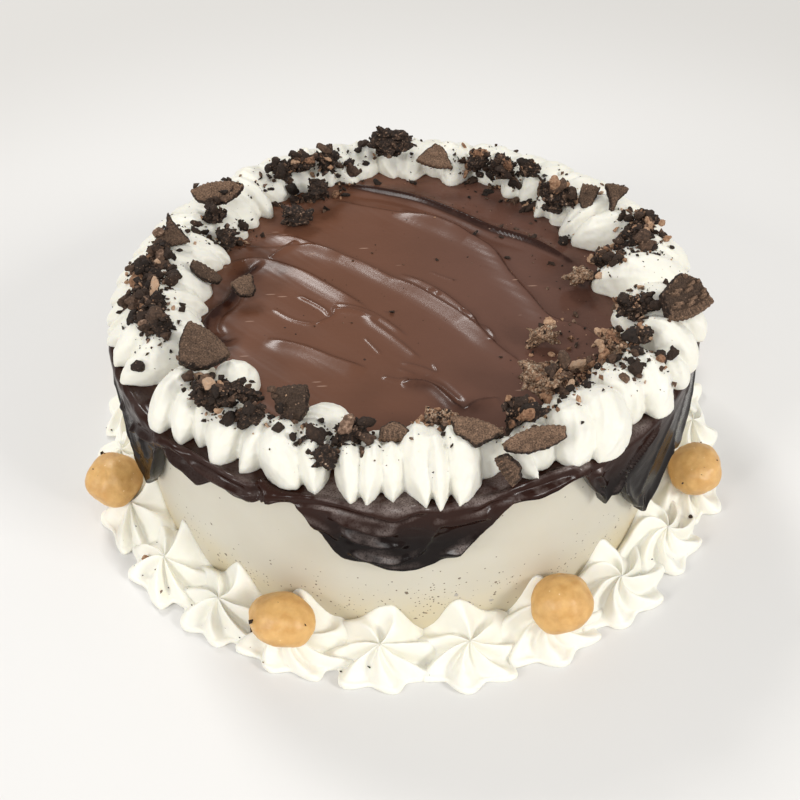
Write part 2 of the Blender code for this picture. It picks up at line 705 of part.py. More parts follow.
def main():
    clear_scene()
    group = make_collection("ice_cream_cake")
    cutters = make_collection("cutters")
    ice_cream = material("ice_cream", (0.76, 0.71, 0.60), 0.5)
    fudge = material("fudge", (0.028, 0.010, 0.007), 0.22)
    cream = material("whipped_cream", (0.93, 0.90, 0.82), 0.45)
    dough = material("cookie_dough", (0.72, 0.42, 0.17), 0.5)
    cookie = material("dark_cookie", (0.055, 0.034, 0.024), 0.85)
    filled = material("filled_cookie", (0.20, 0.12, 0.075), 0.85)
    build_body(group, ice_cream)
    build_fudge(group, fudge)
    border = build_border(group, cutters, cream)
    build_stars(group, cutters, cream)
    build_balls(group, dough)
    build_cookies(group, cutters, (cookie, filled), border)
    largest_part(border)
    for item in cutters.objects:
        item.hide_render = True
        item.display_type = "WIRE"


main()
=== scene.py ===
"""Round ice cream cake with a poured fudge coat, piped cream, dough balls and broken cookies.

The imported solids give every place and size. Lengths here are in millimetres until a mesh is made,
and azimuths are in degrees, 0 at the front and 90 to the right.
"""

import math

import bmesh
import bpy
import numpy as np
from mathutils import Matrix, Vector, noise
from mathutils.bvhtree import BVHTree
from mathutils.kdtree import KDTree


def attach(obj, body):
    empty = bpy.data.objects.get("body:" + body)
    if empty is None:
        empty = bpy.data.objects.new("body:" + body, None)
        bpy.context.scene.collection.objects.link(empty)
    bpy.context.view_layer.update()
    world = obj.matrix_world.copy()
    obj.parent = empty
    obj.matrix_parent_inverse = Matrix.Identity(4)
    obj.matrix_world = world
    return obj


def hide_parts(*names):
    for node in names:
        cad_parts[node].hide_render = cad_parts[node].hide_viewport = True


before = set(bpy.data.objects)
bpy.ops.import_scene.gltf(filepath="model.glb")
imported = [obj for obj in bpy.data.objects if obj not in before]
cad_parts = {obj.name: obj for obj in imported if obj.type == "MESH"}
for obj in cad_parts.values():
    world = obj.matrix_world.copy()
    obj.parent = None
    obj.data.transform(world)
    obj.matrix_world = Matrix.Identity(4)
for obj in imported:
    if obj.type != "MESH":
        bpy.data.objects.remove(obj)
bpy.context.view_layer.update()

# Ice cream body
# A drum of frozen vanilla ice cream, turned out of its tin and smoothed with a warm spatula.
# A band of cookie dust and a faint yellow melt run round its foot.
MM = 0.001
BODY_RADIUS = 101.6
BODY_HEIGHT = 66.4
BODY_EDGE = 1.2
BODY_MIDDLE = 60.0
BODY_COLUMNS = 300
BODY_RING_STEP = 1.3
VANILLA = ((0.585, 0.547, 0.452), (0.62, 0.587, 0.497))
MELT = (0.64, 0.53, 0.31)
COOKIE_DUST = (0.13, 0.085, 0.055)
TAN_STAIN = (0.62, 0.44, 0.24)
GREY_FLECK = (0.28, 0.26, 0.26)


def around(azimuths, radii, heights):
    """Points in millimetres at azimuths, distances from the axis and heights."""
    turn = np.radians(azimuths)
    parts = np.broadcast_arrays(radii * np.sin(turn), -radii * np.cos(turn), heights)
    return np.stack(parts, axis=-1).astype(float)


def fold_noise(points, scale):
    """Smooth noise from about -1 to 1 at each point, with swells of the given size."""
    flat = np.asarray(points, float).reshape(-1, 3) / scale
    values = [noise.noise(Vector(place)) for place in flat]
    return np.array(values).reshape(np.shape(points)[:-1])


def set_down(name, data):
    """A new object in the scene for a mesh, a lamp or a camera."""
    made = bpy.data.objects.new(name, data)
    bpy.context.scene.collection.objects.link(made)
    return made


def make_object(name, points, faces, smooth=True):
    """A mesh object from points in millimetres, with its faces turned outward."""
    mesh = bpy.data.meshes.new(name)
    mesh.from_pydata((np.asarray(points, float).reshape(-1, 3) * MM).tolist(), [], faces)
    bm = bmesh.new()
    bm.from_mesh(mesh)
    bmesh.ops.recalc_face_normals(bm, faces=bm.faces)
    bm.to_mesh(mesh)
    bm.free()
    if smooth:
        mesh.shade_smooth()
    return set_down(name, mesh)


def ring_faces(rows, columns):
    """Quads between closed rings of equal count."""
    row = np.arange(rows - 1)[:, None] * columns
    here = np.arange(columns)[None, :]
    after = (here + 1) % columns
    quads = np.stack([row + here, row + after, row + columns + after, row + columns + here], axis=-1)
    return quads.reshape(-1, 4).tolist()


def loft(name, rings):
    """Skin over closed rings of points, with a fan to a middle point at either end."""
    rings = np.asarray(rings, float)
    rows, columns = rings.shape[:2]
    faces = ring_faces(rows, columns)
    points = rings.reshape(-1, 3)
    for row in (0, rows - 1):
        middle = len(points)
        points = np.vstack([points, rings[row].mean(axis=0)])
        start = row * columns
        faces += [[start + k, start + (k + 1) % columns, middle] for k in range(columns)]
    return make_object(name, points, faces)


def node(tree, kind, inputs=None, **settings):
    """Adds a shader node, sets its properties, and fills or links its inputs."""
    made = tree.nodes.new(kind)
    for key, value in settings.items():
        setattr(made, key, value)
    for key, value in (inputs or {}).items():
        if isinstance(value, bpy.types.NodeSocket):
            tree.links.new(value, made.inputs[key])
        else:
            made.inputs[key].default_value = value
    return made


def sums(tree, operation, first, second, third=0.0):
    """Result of one sum on numbers."""
    made = tree.nodes.new("ShaderNodeMath")
    made.operation = operation
    for socket, value in zip(made.inputs, (first, second, third)):
        if isinstance(value, bpy.types.NodeSocket):
            tree.links.new(value, socket)
        else:
            socket.default_value = value
    return made.outputs[0]


def times(tree, first, second):
    """Product of two numbers."""
    return sums(tree, "MULTIPLY", first, second)


def between(tree, value, low, high, out_low=0.0, out_high=1.0):
    """Smooth step of a value from one range to another."""
    made = node(
        tree,
        "ShaderNodeMapRange",
        {"Value": value, "From Min": low, "From Max": high, "To Min": out_low, "To Max": out_high},
        interpolation_type="SMOOTHSTEP",
    )
    return made.outputs["Result"]


def blend(tree, share, first, second):
    """Colour between two colours."""
    made = tree.nodes.new("ShaderNodeMix")
    made.data_type = "RGBA"
    for socket, value in ((made.inputs[0], share), (made.inputs[6], first), (made.inputs[7], second)):
        if isinstance(value, bpy.types.NodeSocket):
            tree.links.new(value, socket)
        else:
            socket.default_value = (*value, 1.0) if isinstance(value, tuple) else value
    return made.outputs[2]


def shader_group(name, inputs, outputs):
    """An empty shader group with named number inputs and outputs."""
    tree = bpy.data.node_groups.new(name, "ShaderNodeTree")
    for label, value in inputs:
        socket = tree.interface.new_socket(label, in_out="INPUT", socket_type="NodeSocketFloat")
        socket.default_value = value
    for label in outputs:
        tree.interface.new_socket(label, in_out="OUTPUT", socket_type="NodeSocketFloat")
    return tree, tree.nodes.new("NodeGroupInput"), tree.nodes.new("NodeGroupOutput")


def use_group(tree, group, **values):
    """Places a shader group and sets its inputs, written with spaces for underscores."""
    made = tree.nodes.new("ShaderNodeGroup")
    made.node_tree = group
    for key, value in values.items():
        socket = made.inputs[key.replace("_", " ")]
        if isinstance(value, bpy.types.NodeSocket):
            tree.links.new(value, socket)
        else:
            socket.default_value = value
    return made


def new_material(name, **values):
    """A material whose Principled shader takes constant values on its own sockets."""
    material = bpy.data.materials.new(name)
    material.use_nodes = True
    tree = material.node_tree
    shader = tree.nodes["Principled BSDF"]
    for key, value in values.items():
        shader.inputs[key.replace("_", " ")].default_value = value
    return material, tree, shader


def paint(tree, shader, colour):
    """Gives a colour that changes over the surface to the shader."""
    tree.links.new(colour, shader.inputs["Base Color"])


def place_parts(tree):
    """Right, back and up places on the piece in metres, by the names X, Y and Z."""
    where = tree.nodes.new("ShaderNodeTexCoord")
    return node(tree, "ShaderNodeSeparateXYZ", {"Vector": where.outputs["Object"]}).outputs


def place_in_mm(tree, stretch=(1.0, 1.0, 1.0), turn=0.0):
    """Place on the piece in millimetres, turned about the upright and stretched."""
    where = tree.nodes.new("ShaderNodeTexCoord")
    made = node(tree, "ShaderNodeMapping", {"Vector": where.outputs["Object"]}, vector_type="POINT")
    made.inputs["Rotation"].default_value = (0.0, 0.0, math.radians(turn))
    made.inputs["Scale"].default_value = [value / MM for value in stretch]
    return made.outputs["Vector"]


def build_mottle_group():
    """Soft patches: noise of one size, sharpened by a contrast."""
    tree, into, out = shader_group("Mottle", (("Size", 10.0), ("Contrast", 1.0), ("Shift", 0.0)), ("Mask",))
    where = place_in_mm(tree)
    scale = sums(tree, "DIVIDE", 1.0, into.outputs["Size"])
    field = node(tree, "ShaderNodeTexNoise", {"Vector": where, "Scale": scale, "Detail": 3.0})
    centred = sums(tree, "SUBTRACT", field.outputs["Fac"], 0.5)
    grown = sums(tree, "MULTIPLY_ADD", centred, into.outputs["Contrast"], 0.5)
    shifted = sums(tree, "ADD", grown, into.outputs["Shift"])
    clean = node(tree, "ShaderNodeClamp", {"Value": shifted})
    tree.links.new(clean.outputs[0], out.inputs["Mask"])
    return tree


def build_speck_group():
    """Scattered specks: some cells of a cell pattern hold a speck of uneven size."""
    tree, into, out = shader_group("Specks", (("Spacing", 3.0), ("Size", 0.4), ("Share", 0.3)), ("Mask",))
    where = place_in_mm(tree)
    scale = sums(tree, "DIVIDE", 1.0, into.outputs["Spacing"])
    cells = node(tree, "ShaderNodeTexVoronoi", {"Vector": where, "Scale": scale, "Randomness": 1.0})
    chance = node(tree, "ShaderNodeSeparateColor", {"Color": cells.outputs["Color"]})
    held = sums(tree, "LESS_THAN", chance.outputs[0], into.outputs["Share"])
    reach = sums(tree, "DIVIDE", into.outputs["Size"], into.outputs["Spacing"])
    uneven = sums(tree, "MULTIPLY_ADD", chance.outputs[1], 0.8, 0.35)
    radius = times(tree, reach, uneven)
    ragged = node(tree, "ShaderNodeTexNoise", {"Vector": where, "Scale": 1.6, "Detail": 2.0})
    wobble = sums(tree, "MULTIPLY_ADD", ragged.outputs["Fac"], 1.4, 0.3)
    edge = sums(tree, "DIVIDE", cells.outputs["Distance"], times(tree, radius, wobble))
    inside = between(tree, edge, 1.0, 0.8)
    tree.links.new(times(tree, inside, held), out.inputs["Mask"])
    return tree


def build_relief_group():
    """Fine relief for a Bump node: a coarse and a fine noise."""
    inputs = (("Coarse", 4.0), ("Fine", 0.8), ("Fine Share", 0.3))
    tree, into, out = shader_group("Fine Relief", inputs, ("Height",))
    where = place_in_mm(tree)
    heights = []
    for label in ("Coarse", "Fine"):
        scale = sums(tree, "DIVIDE", 1.0, into.outputs[label])
        field = node(tree, "ShaderNodeTexNoise", {"Vector": where, "Scale": scale, "Detail": 2.0})
        heights.append(field.outputs["Fac"])
    both = sums(tree, "MULTIPLY_ADD", heights[1], into.outputs["Fine Share"], heights[0])
    tree.links.new(both, out.inputs["Height"])
    return tree


mottle = build_mottle_group()
specks = build_speck_group()
fine_relief = build_relief_group()


def bump(tree, shader, height, strength, distance_mm):
    """Feeds a height to the shader's normal."""
    inputs = {"Height": height, "Strength": strength, "Distance": distance_mm * MM}
    made = node(tree, "ShaderNodeBump", inputs)
    tree.links.new(made.outputs["Normal"], shader.inputs["Normal"])


def mottled(tree, size, contrast, shift=0.0):
    """Places the group of soft patches: size in millimetres, contrast and shift of the mask."""
    return use_group(tree, mottle, Size=size, Contrast=contrast, Shift=shift).outputs["Mask"]


def specked(tree, spacing, size, share):
    """Places the group of specks: spacing and size in millimetres, share of cells that hold one."""
    return use_group(tree, specks, Spacing=spacing, Size=size, Share=share).outputs["Mask"]


def grained(tree, shader, grain, strength, distance_mm):
    """Places the group of fine relief, its coarse and fine sizes and fine share, under a bump."""
    coarse, fine, fine_share = grain
    relief = use_group(tree, fine_relief, Coarse=coarse, Fine=fine, Fine_Share=fine_share)
    bump(tree, shader, relief.outputs["Height"], strength, distance_mm)


def build_body():
    """Rings from the foot up the wall, with the slight swells that a spatula leaves."""
    azimuths = np.linspace(0.0, 360.0, BODY_COLUMNS, endpoint=False)
    profile = [(BODY_MIDDLE, 0.0), (98.0, 0.0), (BODY_RADIUS - 0.5, 0.0), (BODY_RADIUS, 0.6)]
    wall = np.arange(2.0, BODY_HEIGHT - BODY_EDGE, BODY_RING_STEP)
    profile += [(BODY_RADIUS, height) for height in wall]
    profile += [(BODY_RADIUS - 0.3, BODY_HEIGHT - 0.4), (BODY_RADIUS - BODY_EDGE, BODY_HEIGHT)]
    profile += [(BODY_MIDDLE, BODY_HEIGHT)]
    rings = np.array([around(azimuths, radius, height) for radius, height in profile])
    swell = fold_noise(rings * (1.0, 1.0, 0.6), 26.0) * 0.3 + fold_noise(rings, 7.0) * 0.06 - 0.3
    inner = (np.array([radius for radius, _ in profile]) < BODY_RADIUS - 1.0)[:, None]
    swell = np.where(inner, 0.0, swell)
    rings[..., :2] *= 1.0 + swell[..., None] / BODY_RADIUS
    return loft("vanilla_body", rings)


def body_finish():
    """Pale ice cream, yellow where it melts at the foot, with a band of dust over the foot."""
    material, tree, shader = new_material(
        "vanilla ice cream",
        Roughness=0.42,
        Subsurface_Weight=0.25,
        Subsurface_Radius=(1.0, 0.8, 0.5),
        Subsurface_Scale=0.003,
    )
    place = place_parts(tree)
    foot = between(tree, place["Z"], 0.030, 0.008)
    patches = mottled(tree, 22.0, 2.2)
    melt = times(tree, foot, patches)
    pale = blend(tree, patches, *VANILLA)
    yellow = sums(tree, "MULTIPLY_ADD", melt, 0.75, times(tree, foot, 0.12))
    warm = blend(tree, yellow, pale, MELT)
    band_low = between(tree, place["Z"], 0.008, 0.014)
    band_high = between(tree, place["Z"], 0.038, 0.020)
    front = between(tree, place["Y"], -0.03, -0.09, 0.35, 1.0)
    crowd = mottled(tree, 11.0, 4.2)
    band = times(tree, times(tree, band_low, band_high), front)
    share = sums(tree, "MULTIPLY_ADD", times(tree, band, crowd), 0.75, 0.006)
    fine_dust = specked(tree, 1.2, 0.34, share)
    some = times(tree, share, 0.4)
    flakes = specked(tree, 2.9, 0.85, some)
    dust = sums(tree, "MAXIMUM", fine_dust, flakes)
    dusted = blend(tree, times(tree, dust, 0.9), warm, COOKIE_DUST)
    stain = specked(tree, 19.0, 2.2, 0.42)
    stained = blend(tree, times(tree, stain, 0.5), dusted, TAN_STAIN)
    fleck = specked(tree, 12.0, 1.0, 0.16)
    flecked = blend(tree, times(tree, fleck, 0.6), stained, GREY_FLECK)
    paint(tree, shader, flecked)
    grained(tree, shader, (9.0, 1.2, 0.15), 0.25, 0.6)
    return material


body = build_body()
body.data.materials.append(body_finish())
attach(body, "root")
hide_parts("ice_cream_body")


# Fudge coat
# Dark fudge poured over the frozen body and drawn across the top with a spatula, which left long
# low ridges. It ran over the rim and set in thick drips with rolled folds and a rounded lip.
FUDGE_TOP = 69.0
FUDGE_RIM_RADIUS = 105.7
FUDGE_RIM_ROUND = 2.6
FUDGE_LEAST_HANG = 65.0
FUDGE_INNER = 101.8
FUDGE_UNDER = 66.7
FUDGE_COLUMNS = 720
FUDGE_LIP = 1.6
# rings on the top: first, last and step, close where strokes and folds show, wide under the cream
FUDGE_RINGS = ((1.0, 78.0, 0.6), (79.0, 93.0, 2.5), (93.5, 103.2, 0.8))
FUDGE_SINK = 0.25
SKIRT_RINGS = 64
RIM_ANGLES = (10.0, 26.0, 42.0, 58.0, 74.0)
LIP_ANGLES = (25.0, 50.0, 75.0, 90.0)
# way that the spatula went, to the right and to the front, and the waves and fine lines it left:
# length, width, layer of noise, height
SPATULA_WAY = (0.72, 0.69)
TOP_WAVES = ((48.0, 7.5, 0.0, 0.12), (14.0, 1.6, 1.0, 0.03))
# folds of the edge: how proud, the hollow beside each and its shift, the deepest hollow, the swollen
# lip, and the azimuth and width of the one drip that ran smooth
FOLD_RISE = 1.45
FOLD_HOLLOW = 0.85
HOLLOW_SHIFT = (0.6, 2.3)
DEEPEST_HOLLOW = -1.8
LIP_SWELL = 1.3
SMOOTH_DRIP = (54.0, 15.0)
PATH_STEPS = 5
FUDGE_WARM = ((0.120, 0.051, 0.029), (0.142, 0.061, 0.036))
FUDGE_COOL = ((0.102, 0.049, 0.035), (0.120, 0.058, 0.042))
# colour of the dark smears and of the painted shade on the top
FUDGE_SMEAR_AND_SHADE = (0.026, 0.0085, 0.005)
FUDGE_SKIRT = ((0.024, 0.0080, 0.0048), (0.0050, 0.0022, 0.0018))
# colour of the painted sheen on the skirt
FUDGE_PAINTED_SHEEN = (0.215, 0.172, 0.158)
FUDGE_SCRATCH = (0.42, 0.27, 0.20)
FUDGE_CRUMB = (0.018, 0.010, 0.008)
# each drip: azimuth, how far it hangs below the least hang, half width in degrees
FUDGE_DRIPS = (
    (358.5, 24, 18),
    (349, 17, 6),
    (37, 15, 7),
    (49.5, 39, 13),
    (65, 33, 15),
    (90, 12, 14),
    (108, 27, 11),
    (137, 16, 16),
    (165, 32, 12),
    (190, 10, 13),
    (211, 24, 11),
    (238, 17, 15),
    (262, 29, 12),
    (281, 12, 12),
    (297.5, 37, 13.5),
    (318, 7, 9),
    (330, 3.5, 6),
)
# thin points drawn out of the lip: azimuth, length, half width in degrees
FUDGE_TIPS = (
    (35.6, 4, 1),
    (40.8, 3, 1.1),
    (48.8, 4.5, 1.2),
    (299, 2.5, 1.6),
    (112, 4, 1.4),
    (163, 4, 1.6),
    (259, 3, 1.4),
)
# the longest ridge, at the far side: points right and back of the middle
FAR_RIDGE = ((-27, 74), (-8, 67), (8, 59.5), (23, 48), (35, 37), (50, 27), (66, 11))
# spatula strokes on the top: points right and back of the middle, height, width behind and in front
TOP_STROKES = (
    (((-53, 40), (-41, 36), (-29, 28), (-15, 18), (-5, 9), (6, 0), (20, -16), (34, -36)), 1.4, 0.6, 5),
    (((-65, 22), (-53, 23), (-38, 15), (-27, 5), (-12, -10)), 1.1, 0.6, 4.6),
    (
        (
            (0, 54), (11, 47), (23, 37), (34, 24), (39, 9),
            (46, -8), (51, -19), (61, -25), (66, -29),
        ),
        2, 0.8, 6.5,
    ),
    (((-26, 62), (-16, 57), (0, 51), (16, 43), (27, 33)), 1, 0.8, 4.5),
    (((-1, 11), (7, 5), (15, -3), (23, -15), (25, -20), (29, -30), (35, -38), (38, -41)), 1.3, 0.55, 4.4),
    (((-25, -6), (-14, -10), (-7, -16), (1, -26)), 0.6, 0.5, 2.4),
    (((-48, -24), (-35, -29), (-24, -36), (-13, -42)), 1, 0.55, 4),
    (((-14, -13), (-2, -28), (5, -38)), 0.45, 0.45, 2.4),
    (((-66, 34), (-50, 30), (-34, 30), (-22, 24)), 0.4, 0.6, 4),
)
# dark smears beside the strokes and by the cream, and a painted shadow line under the far ridge: points,
# share, width behind and in front
TOP_SMEARS_AND_SHADOW = (
    (((-52, 24), (-60, 10), (-64, -4), (-70, -16), (-64, -26), (-56, -28)), 0.9, 6, 5),
    (((-58, 34), (-48, 22), (-44, 12)), 0.5, 4, 4),
    (((-2, -50), (8, -53), (16, -63), (28, -60)), 0.6, 4, 3),
    # painted shadow: a thin dark line under the far ridge's raised edge
    (FAR_RIDGE, 1.5, 0.7, 1.0),
    (((62, 20), (66, 0), (68, -16)), 0.5, 5, 7),
)
# nicks, folds and grooves left where the spatula lifted; a groove has a height below nought
TOP_NICKS = (
    (((-47, -7), (-39, -14), (-31, -17)), 0.35, 0.35, 0.9),
    (((-38, 0), (-33, -4), (-28, -9), (-26, -13)), 0.6, 0.4, 0.8),
    (((-31, -17), (-28, -15), (-25, -12), (-25, -7)), 0.45, 0.4, 0.7),
    (((-25, -9), (-20, -9.5), (-14, -12), (-9, -16)), 0.5, 0.4, 1.3),
    (((-14, -25), (-11, -30), (-8, -35)), 0.3, 0.3, 0.6),
    (((25, -20), (29, -23), (31, -29), (29, -32)), 0.6, 0.4, 0.9),
    (((20, -12), (24, -16), (25, -20)), 0.6, 0.4, 0.9),
    (((9, 0), (12, -1), (13, -4)), 0.4, 0.3, 0.7),
    (((10, 12), (14, 9), (20, 5)), 0.35, 0.35, 0.8),
    (((-3, -42), (4, -46), (9, -47)), 0.3, 0.3, 0.7),
    (((-2, -50), (3, -49), (8, -51), (12, -56), (15, -61), (18, -64)), 1.1, 0.6, 2),
    (((0, -48), (5, -47.5), (10, -50), (14, -55), (18, -61)), -1, 1.4, 0.8),
    (((18, -64), (23, -60), (30, -59)), 0.9, 0.8, 2),
    (((-8, -46), (-3, -48), (1, -47.5)), 0.5, 0.5, 1),
    (((-2, -39), (5, -42), (10, -45), (9, -40)), 0.45, 0.4, 0.9),
    (
        (
            (-52, 21), (-57, 14), (-61, 8), (-63, -2), (-68, -9),
            (-70, -16), (-67, -23), (-62, -26), (-58, -24),
        ),
        1.3, 0.7, 1,
    ),
    (((-56, 18), (-59, 8), (-60, -2), (-65, -10), (-66, -17), (-63, -22)), -0.9, 1.3, 1.2),
    (((-50, 24), (-44, 30), (-40, 33)), 0.7, 0.7, 1.6),
    (FAR_RIDGE, 2.4, 3.6, 0.7),
    (((-22, 67), (-8, 63), (7, 55.5), (21, 45), (33, 33.5), (48, 23)), -0.7, 1.5, 2.5),
    (((-53, 60), (-46, 60), (-40, 58)), 0.6, 0.6, 1.5),
)
# folds of the coat's edge: azimuth and way in or up from the rim, thickness, width above and below
RIM_FOLDS = (
    (((309, -4.5), (315, 0.2), (320.8, -2.1), (325, -2.6), (330, -3.6), (334.4, -2.8)), 1.5, 1, 1.5),
    (
        (
            (296.6, -16.8), (302, -11), (308.5, -6.9), (314, -2), (318.2, 0.6),
            (324.1, 1), (329.7, 0.2), (334, -0.6),
        ),
        1.4, 1.2, 1.4,
    ),
    (((312, -5), (317.8, -6.4), (320.6, -7.4), (324.7, -6.6), (330.7, -5.6), (334.7, -4.4)), 1.1, 1, 1.3),
    (((333.6, 3.2), (335.5, 0), (336, -2.6), (334.5, -4)), 2.2, 1.8, 1.8),
    (((294, -10), (294.5, -20), (296.5, -32)), 1.2, 1.5, 2.5),
    (((300, -10), (302.5, -15), (303.5, -24)), 0.9, 1.2, 2),
    (
        (
            (335.7, -2.7), (340.2, -0.1), (345, 1), (350.2, -0.6), (354.1, -2.4),
            (357.2, -4.2), (360.4, -1.5), (363, -1),
        ),
        1.2, 2.6, 0.8,
    ),
    (((338, -6), (342, -7), (345.5, -10), (348, -15)), 0.9, 1.4, 1.4),
    (((346.4, -4.2), (351.6, -8.3), (354.7, -10), (357.9, -9)), 1.5, 1.6, 1.5),
    (((348, -11), (352.2, -14.6), (356.2, -15.9), (359, -14)), 1.3, 1.3, 1.5),
    (
        (
            (348.8, -18.8), (352.8, -21.6), (356.9, -22.5), (360.4, -19.8), (362.8, -12.7),
            (364, -4),
        ),
        1.5, 1.2, 2,
    ),
    (((364, -5.5), (367.7, -7), (373, -4.6)), 1.5, 3.2, 3.6),
    (((8.8, -2), (15.1, 1), (18.8, 2.4), (25.2, 2.4), (29.4, 1.2)), 1.4, 1.4, 1),
    (
        (
            (4, -21), (8.9, -17.5), (12.6, -12.8), (15.7, -7.1), (19.7, -3.4),
            (24.1, -3.4), (30.3, -6),
        ),
        1.6, 1, 2.4,
    ),
    (((31, 2), (30.6, -1), (29.9, -4.2), (27.5, -5)), 1.3, 0.9, 1.2),
    (((33, -3), (33.4, -8), (35, -13)), 1, 1.2, 1.8),
    (((36.6, -19), (38.5, -16), (41, -12.5), (45, -8.5), (50, -3.5)), 1, 0.55, 0.7),
    (((45.7, -34), (47, -28), (51, -18), (56, -8)), 0.5, 1.2, 3.2),
    (((56, -34), (58.5, -26), (61, -14), (63, -4)), 0.7, 1, 2),
)


def turn_gap(first, second):
    """Signed difference of azimuths, in degrees."""
    return (first - second + 180.0) % 360.0 - 180.0


def fudge_edge(azimuth):
    """Height of the skirt's lower edge: the least hang less a soft maximum of the drips."""
    azimuth = np.asarray(azimuth, float)
    total = np.zeros_like(azimuth)
    for where, depth, half_width in FUDGE_DRIPS:
        x = np.clip(turn_gap(azimuth, where) / half_width, -1.0, 1.0)
        total += (depth * (1.0 - x * x) ** 1.25) ** 4
    hang = total**0.25
    ripple = 0.5 * np.sin(np.radians(azimuth * 9.0)) + 0.4 * np.sin(np.radians(azimuth * 17.0 + 40.0))
    return FUDGE_LEAST_HANG - hang + ripple * np.minimum(1.0, hang / 6.0)


def stroke_height(points, strokes):
    """Height that ridges add at flat points. Each is steep on one side of its line, gentle on the other."""
    points = np.asarray(points, float)
    flat = points.reshape(-1, 2)
    total = np.zeros(len(flat))
    for line, height, steep, gentle in strokes:
        path = smooth_path(np.array(line, float))
        reach = 3.0 * max(steep, gentle)
        close = np.all((flat > path.min(axis=0) - reach) & (flat < path.max(axis=0) + reach), axis=1)
        some = flat[close]
        best = np.full(len(some), 1e9)
        side = np.zeros(len(some))
        along = np.zeros(len(some))
        count = len(path) - 1
        for k, (start, end) in enumerate(zip(path[:-1], path[1:])):
            step = end - start
            share = np.clip(((some - start) @ step) / (step @ step), 0.0, 1.0)
            away = some - start - share[:, None] * step
            gap = np.hypot(away[:, 0], away[:, 1])
            cross = step[0] * away[:, 1] - step[1] * away[:, 0]
            nearer = gap < best
            best = np.where(nearer, gap, best)
            side = np.where(nearer, np.sign(cross), side)
            along = np.where(nearer, (k + share) / count, along)
        width = np.where(side > 0.0, steep, gentle)
        taper = np.clip(np.minimum(along, 1.0 - along) / 0.16, 0.0, 1.0)
        total[close] += height * np.sin(taper * math.pi / 2) * np.exp(-((best / width) ** 1.6))
    return total.reshape(points.shape[:-1])


def smooth_path(points):
    """Finer points on a smooth curve through the given ones."""
    padded = np.vstack([2 * points[0] - points[1], points, 2 * points[-1] - points[-2]])
    path = []
    for p0, p1, p2, p3 in zip(padded[:-3], padded[1:-2], padded[2:-1], padded[3:]):
        for t in np.arange(PATH_STEPS) / PATH_STEPS:
            bend = (2 * p0 - 5 * p1 + 4 * p2 - p3) * t * t + (3 * p1 - p0 - 3 * p2 + p3) * t**3
            path.append(0.5 * (2 * p1 + (p2 - p0) * t + bend))
    path.append(points[-1])
    return np.array(path)


def rim_swell(azimuths, way, low):
    """How far the coat's edge stands out at a way in (over nought) or down (under it) from the rim."""
    near_edge = np.exp(-(((way + FUDGE_TOP - low) / 4.5) ** 2)) * np.minimum(1.0, (FUDGE_TOP - low) / 12.0)
    centred = turn_gap(azimuths, 0.0)
    flat = np.stack([np.radians(centred) * FUDGE_RIM_RADIUS, way], axis=-1)
    folds = []
    for line, thickness, above, below in RIM_FOLDS:
        first = turn_gap(line[0][0], 0.0)
        spots = [(math.radians(first + a - line[0][0]) * FUDGE_RIM_RADIUS, w) for a, w in line]
        folds.append((spots, thickness, above, below))
    hollow = stroke_height(flat + HOLLOW_SHIFT, folds)
    drawn = FOLD_RISE * stroke_height(flat, folds) - FOLD_HOLLOW * hollow
    hang = np.clip(-way / 30.0, 0.0, 1.0)
    slanting = 0.8 * np.sin(np.radians(azimuths * 14.0) + way * 0.16) * hang
    hidden = between_steps(np.abs(centred), 74.0, 95.0)
    swells = np.stack([flat[..., 0], flat[..., 1] * 1.4, np.zeros_like(way)], axis=-1)
    uneven = 0.55 * fold_noise(swells, 9.0) + 0.25 * fold_noise(swells, 3.6)
    smooth_drip = np.exp(-(((centred - SMOOTH_DRIP[0]) / SMOOTH_DRIP[1]) ** 2))
    ripples = slanting * (0.25 + 0.75 * hidden) + uneven
    return LIP_SWELL * near_edge + np.maximum(drawn, DEEPEST_HOLLOW) + ripples * (1.0 - 0.75 * smooth_drip)


def between_steps(value, low, high):
    """Smooth step from 0 at low to 1 at high."""
    t = np.clip((value - low) / (high - low), 0.0, 1.0)
    return t * t * (3.0 - 2.0 * t)


def add_value(item, name, values):
    """Stores one number at each point for the shader."""
    layer = item.data.attributes.new(name, "FLOAT", "POINT")
    layer.data.foreach_set("value", np.asarray(values, np.float32))


def stored(tree, name):
    """Reads a number that was stored at each point."""
    return node(tree, "ShaderNodeAttribute", attribute_name=name).outputs["Fac"]


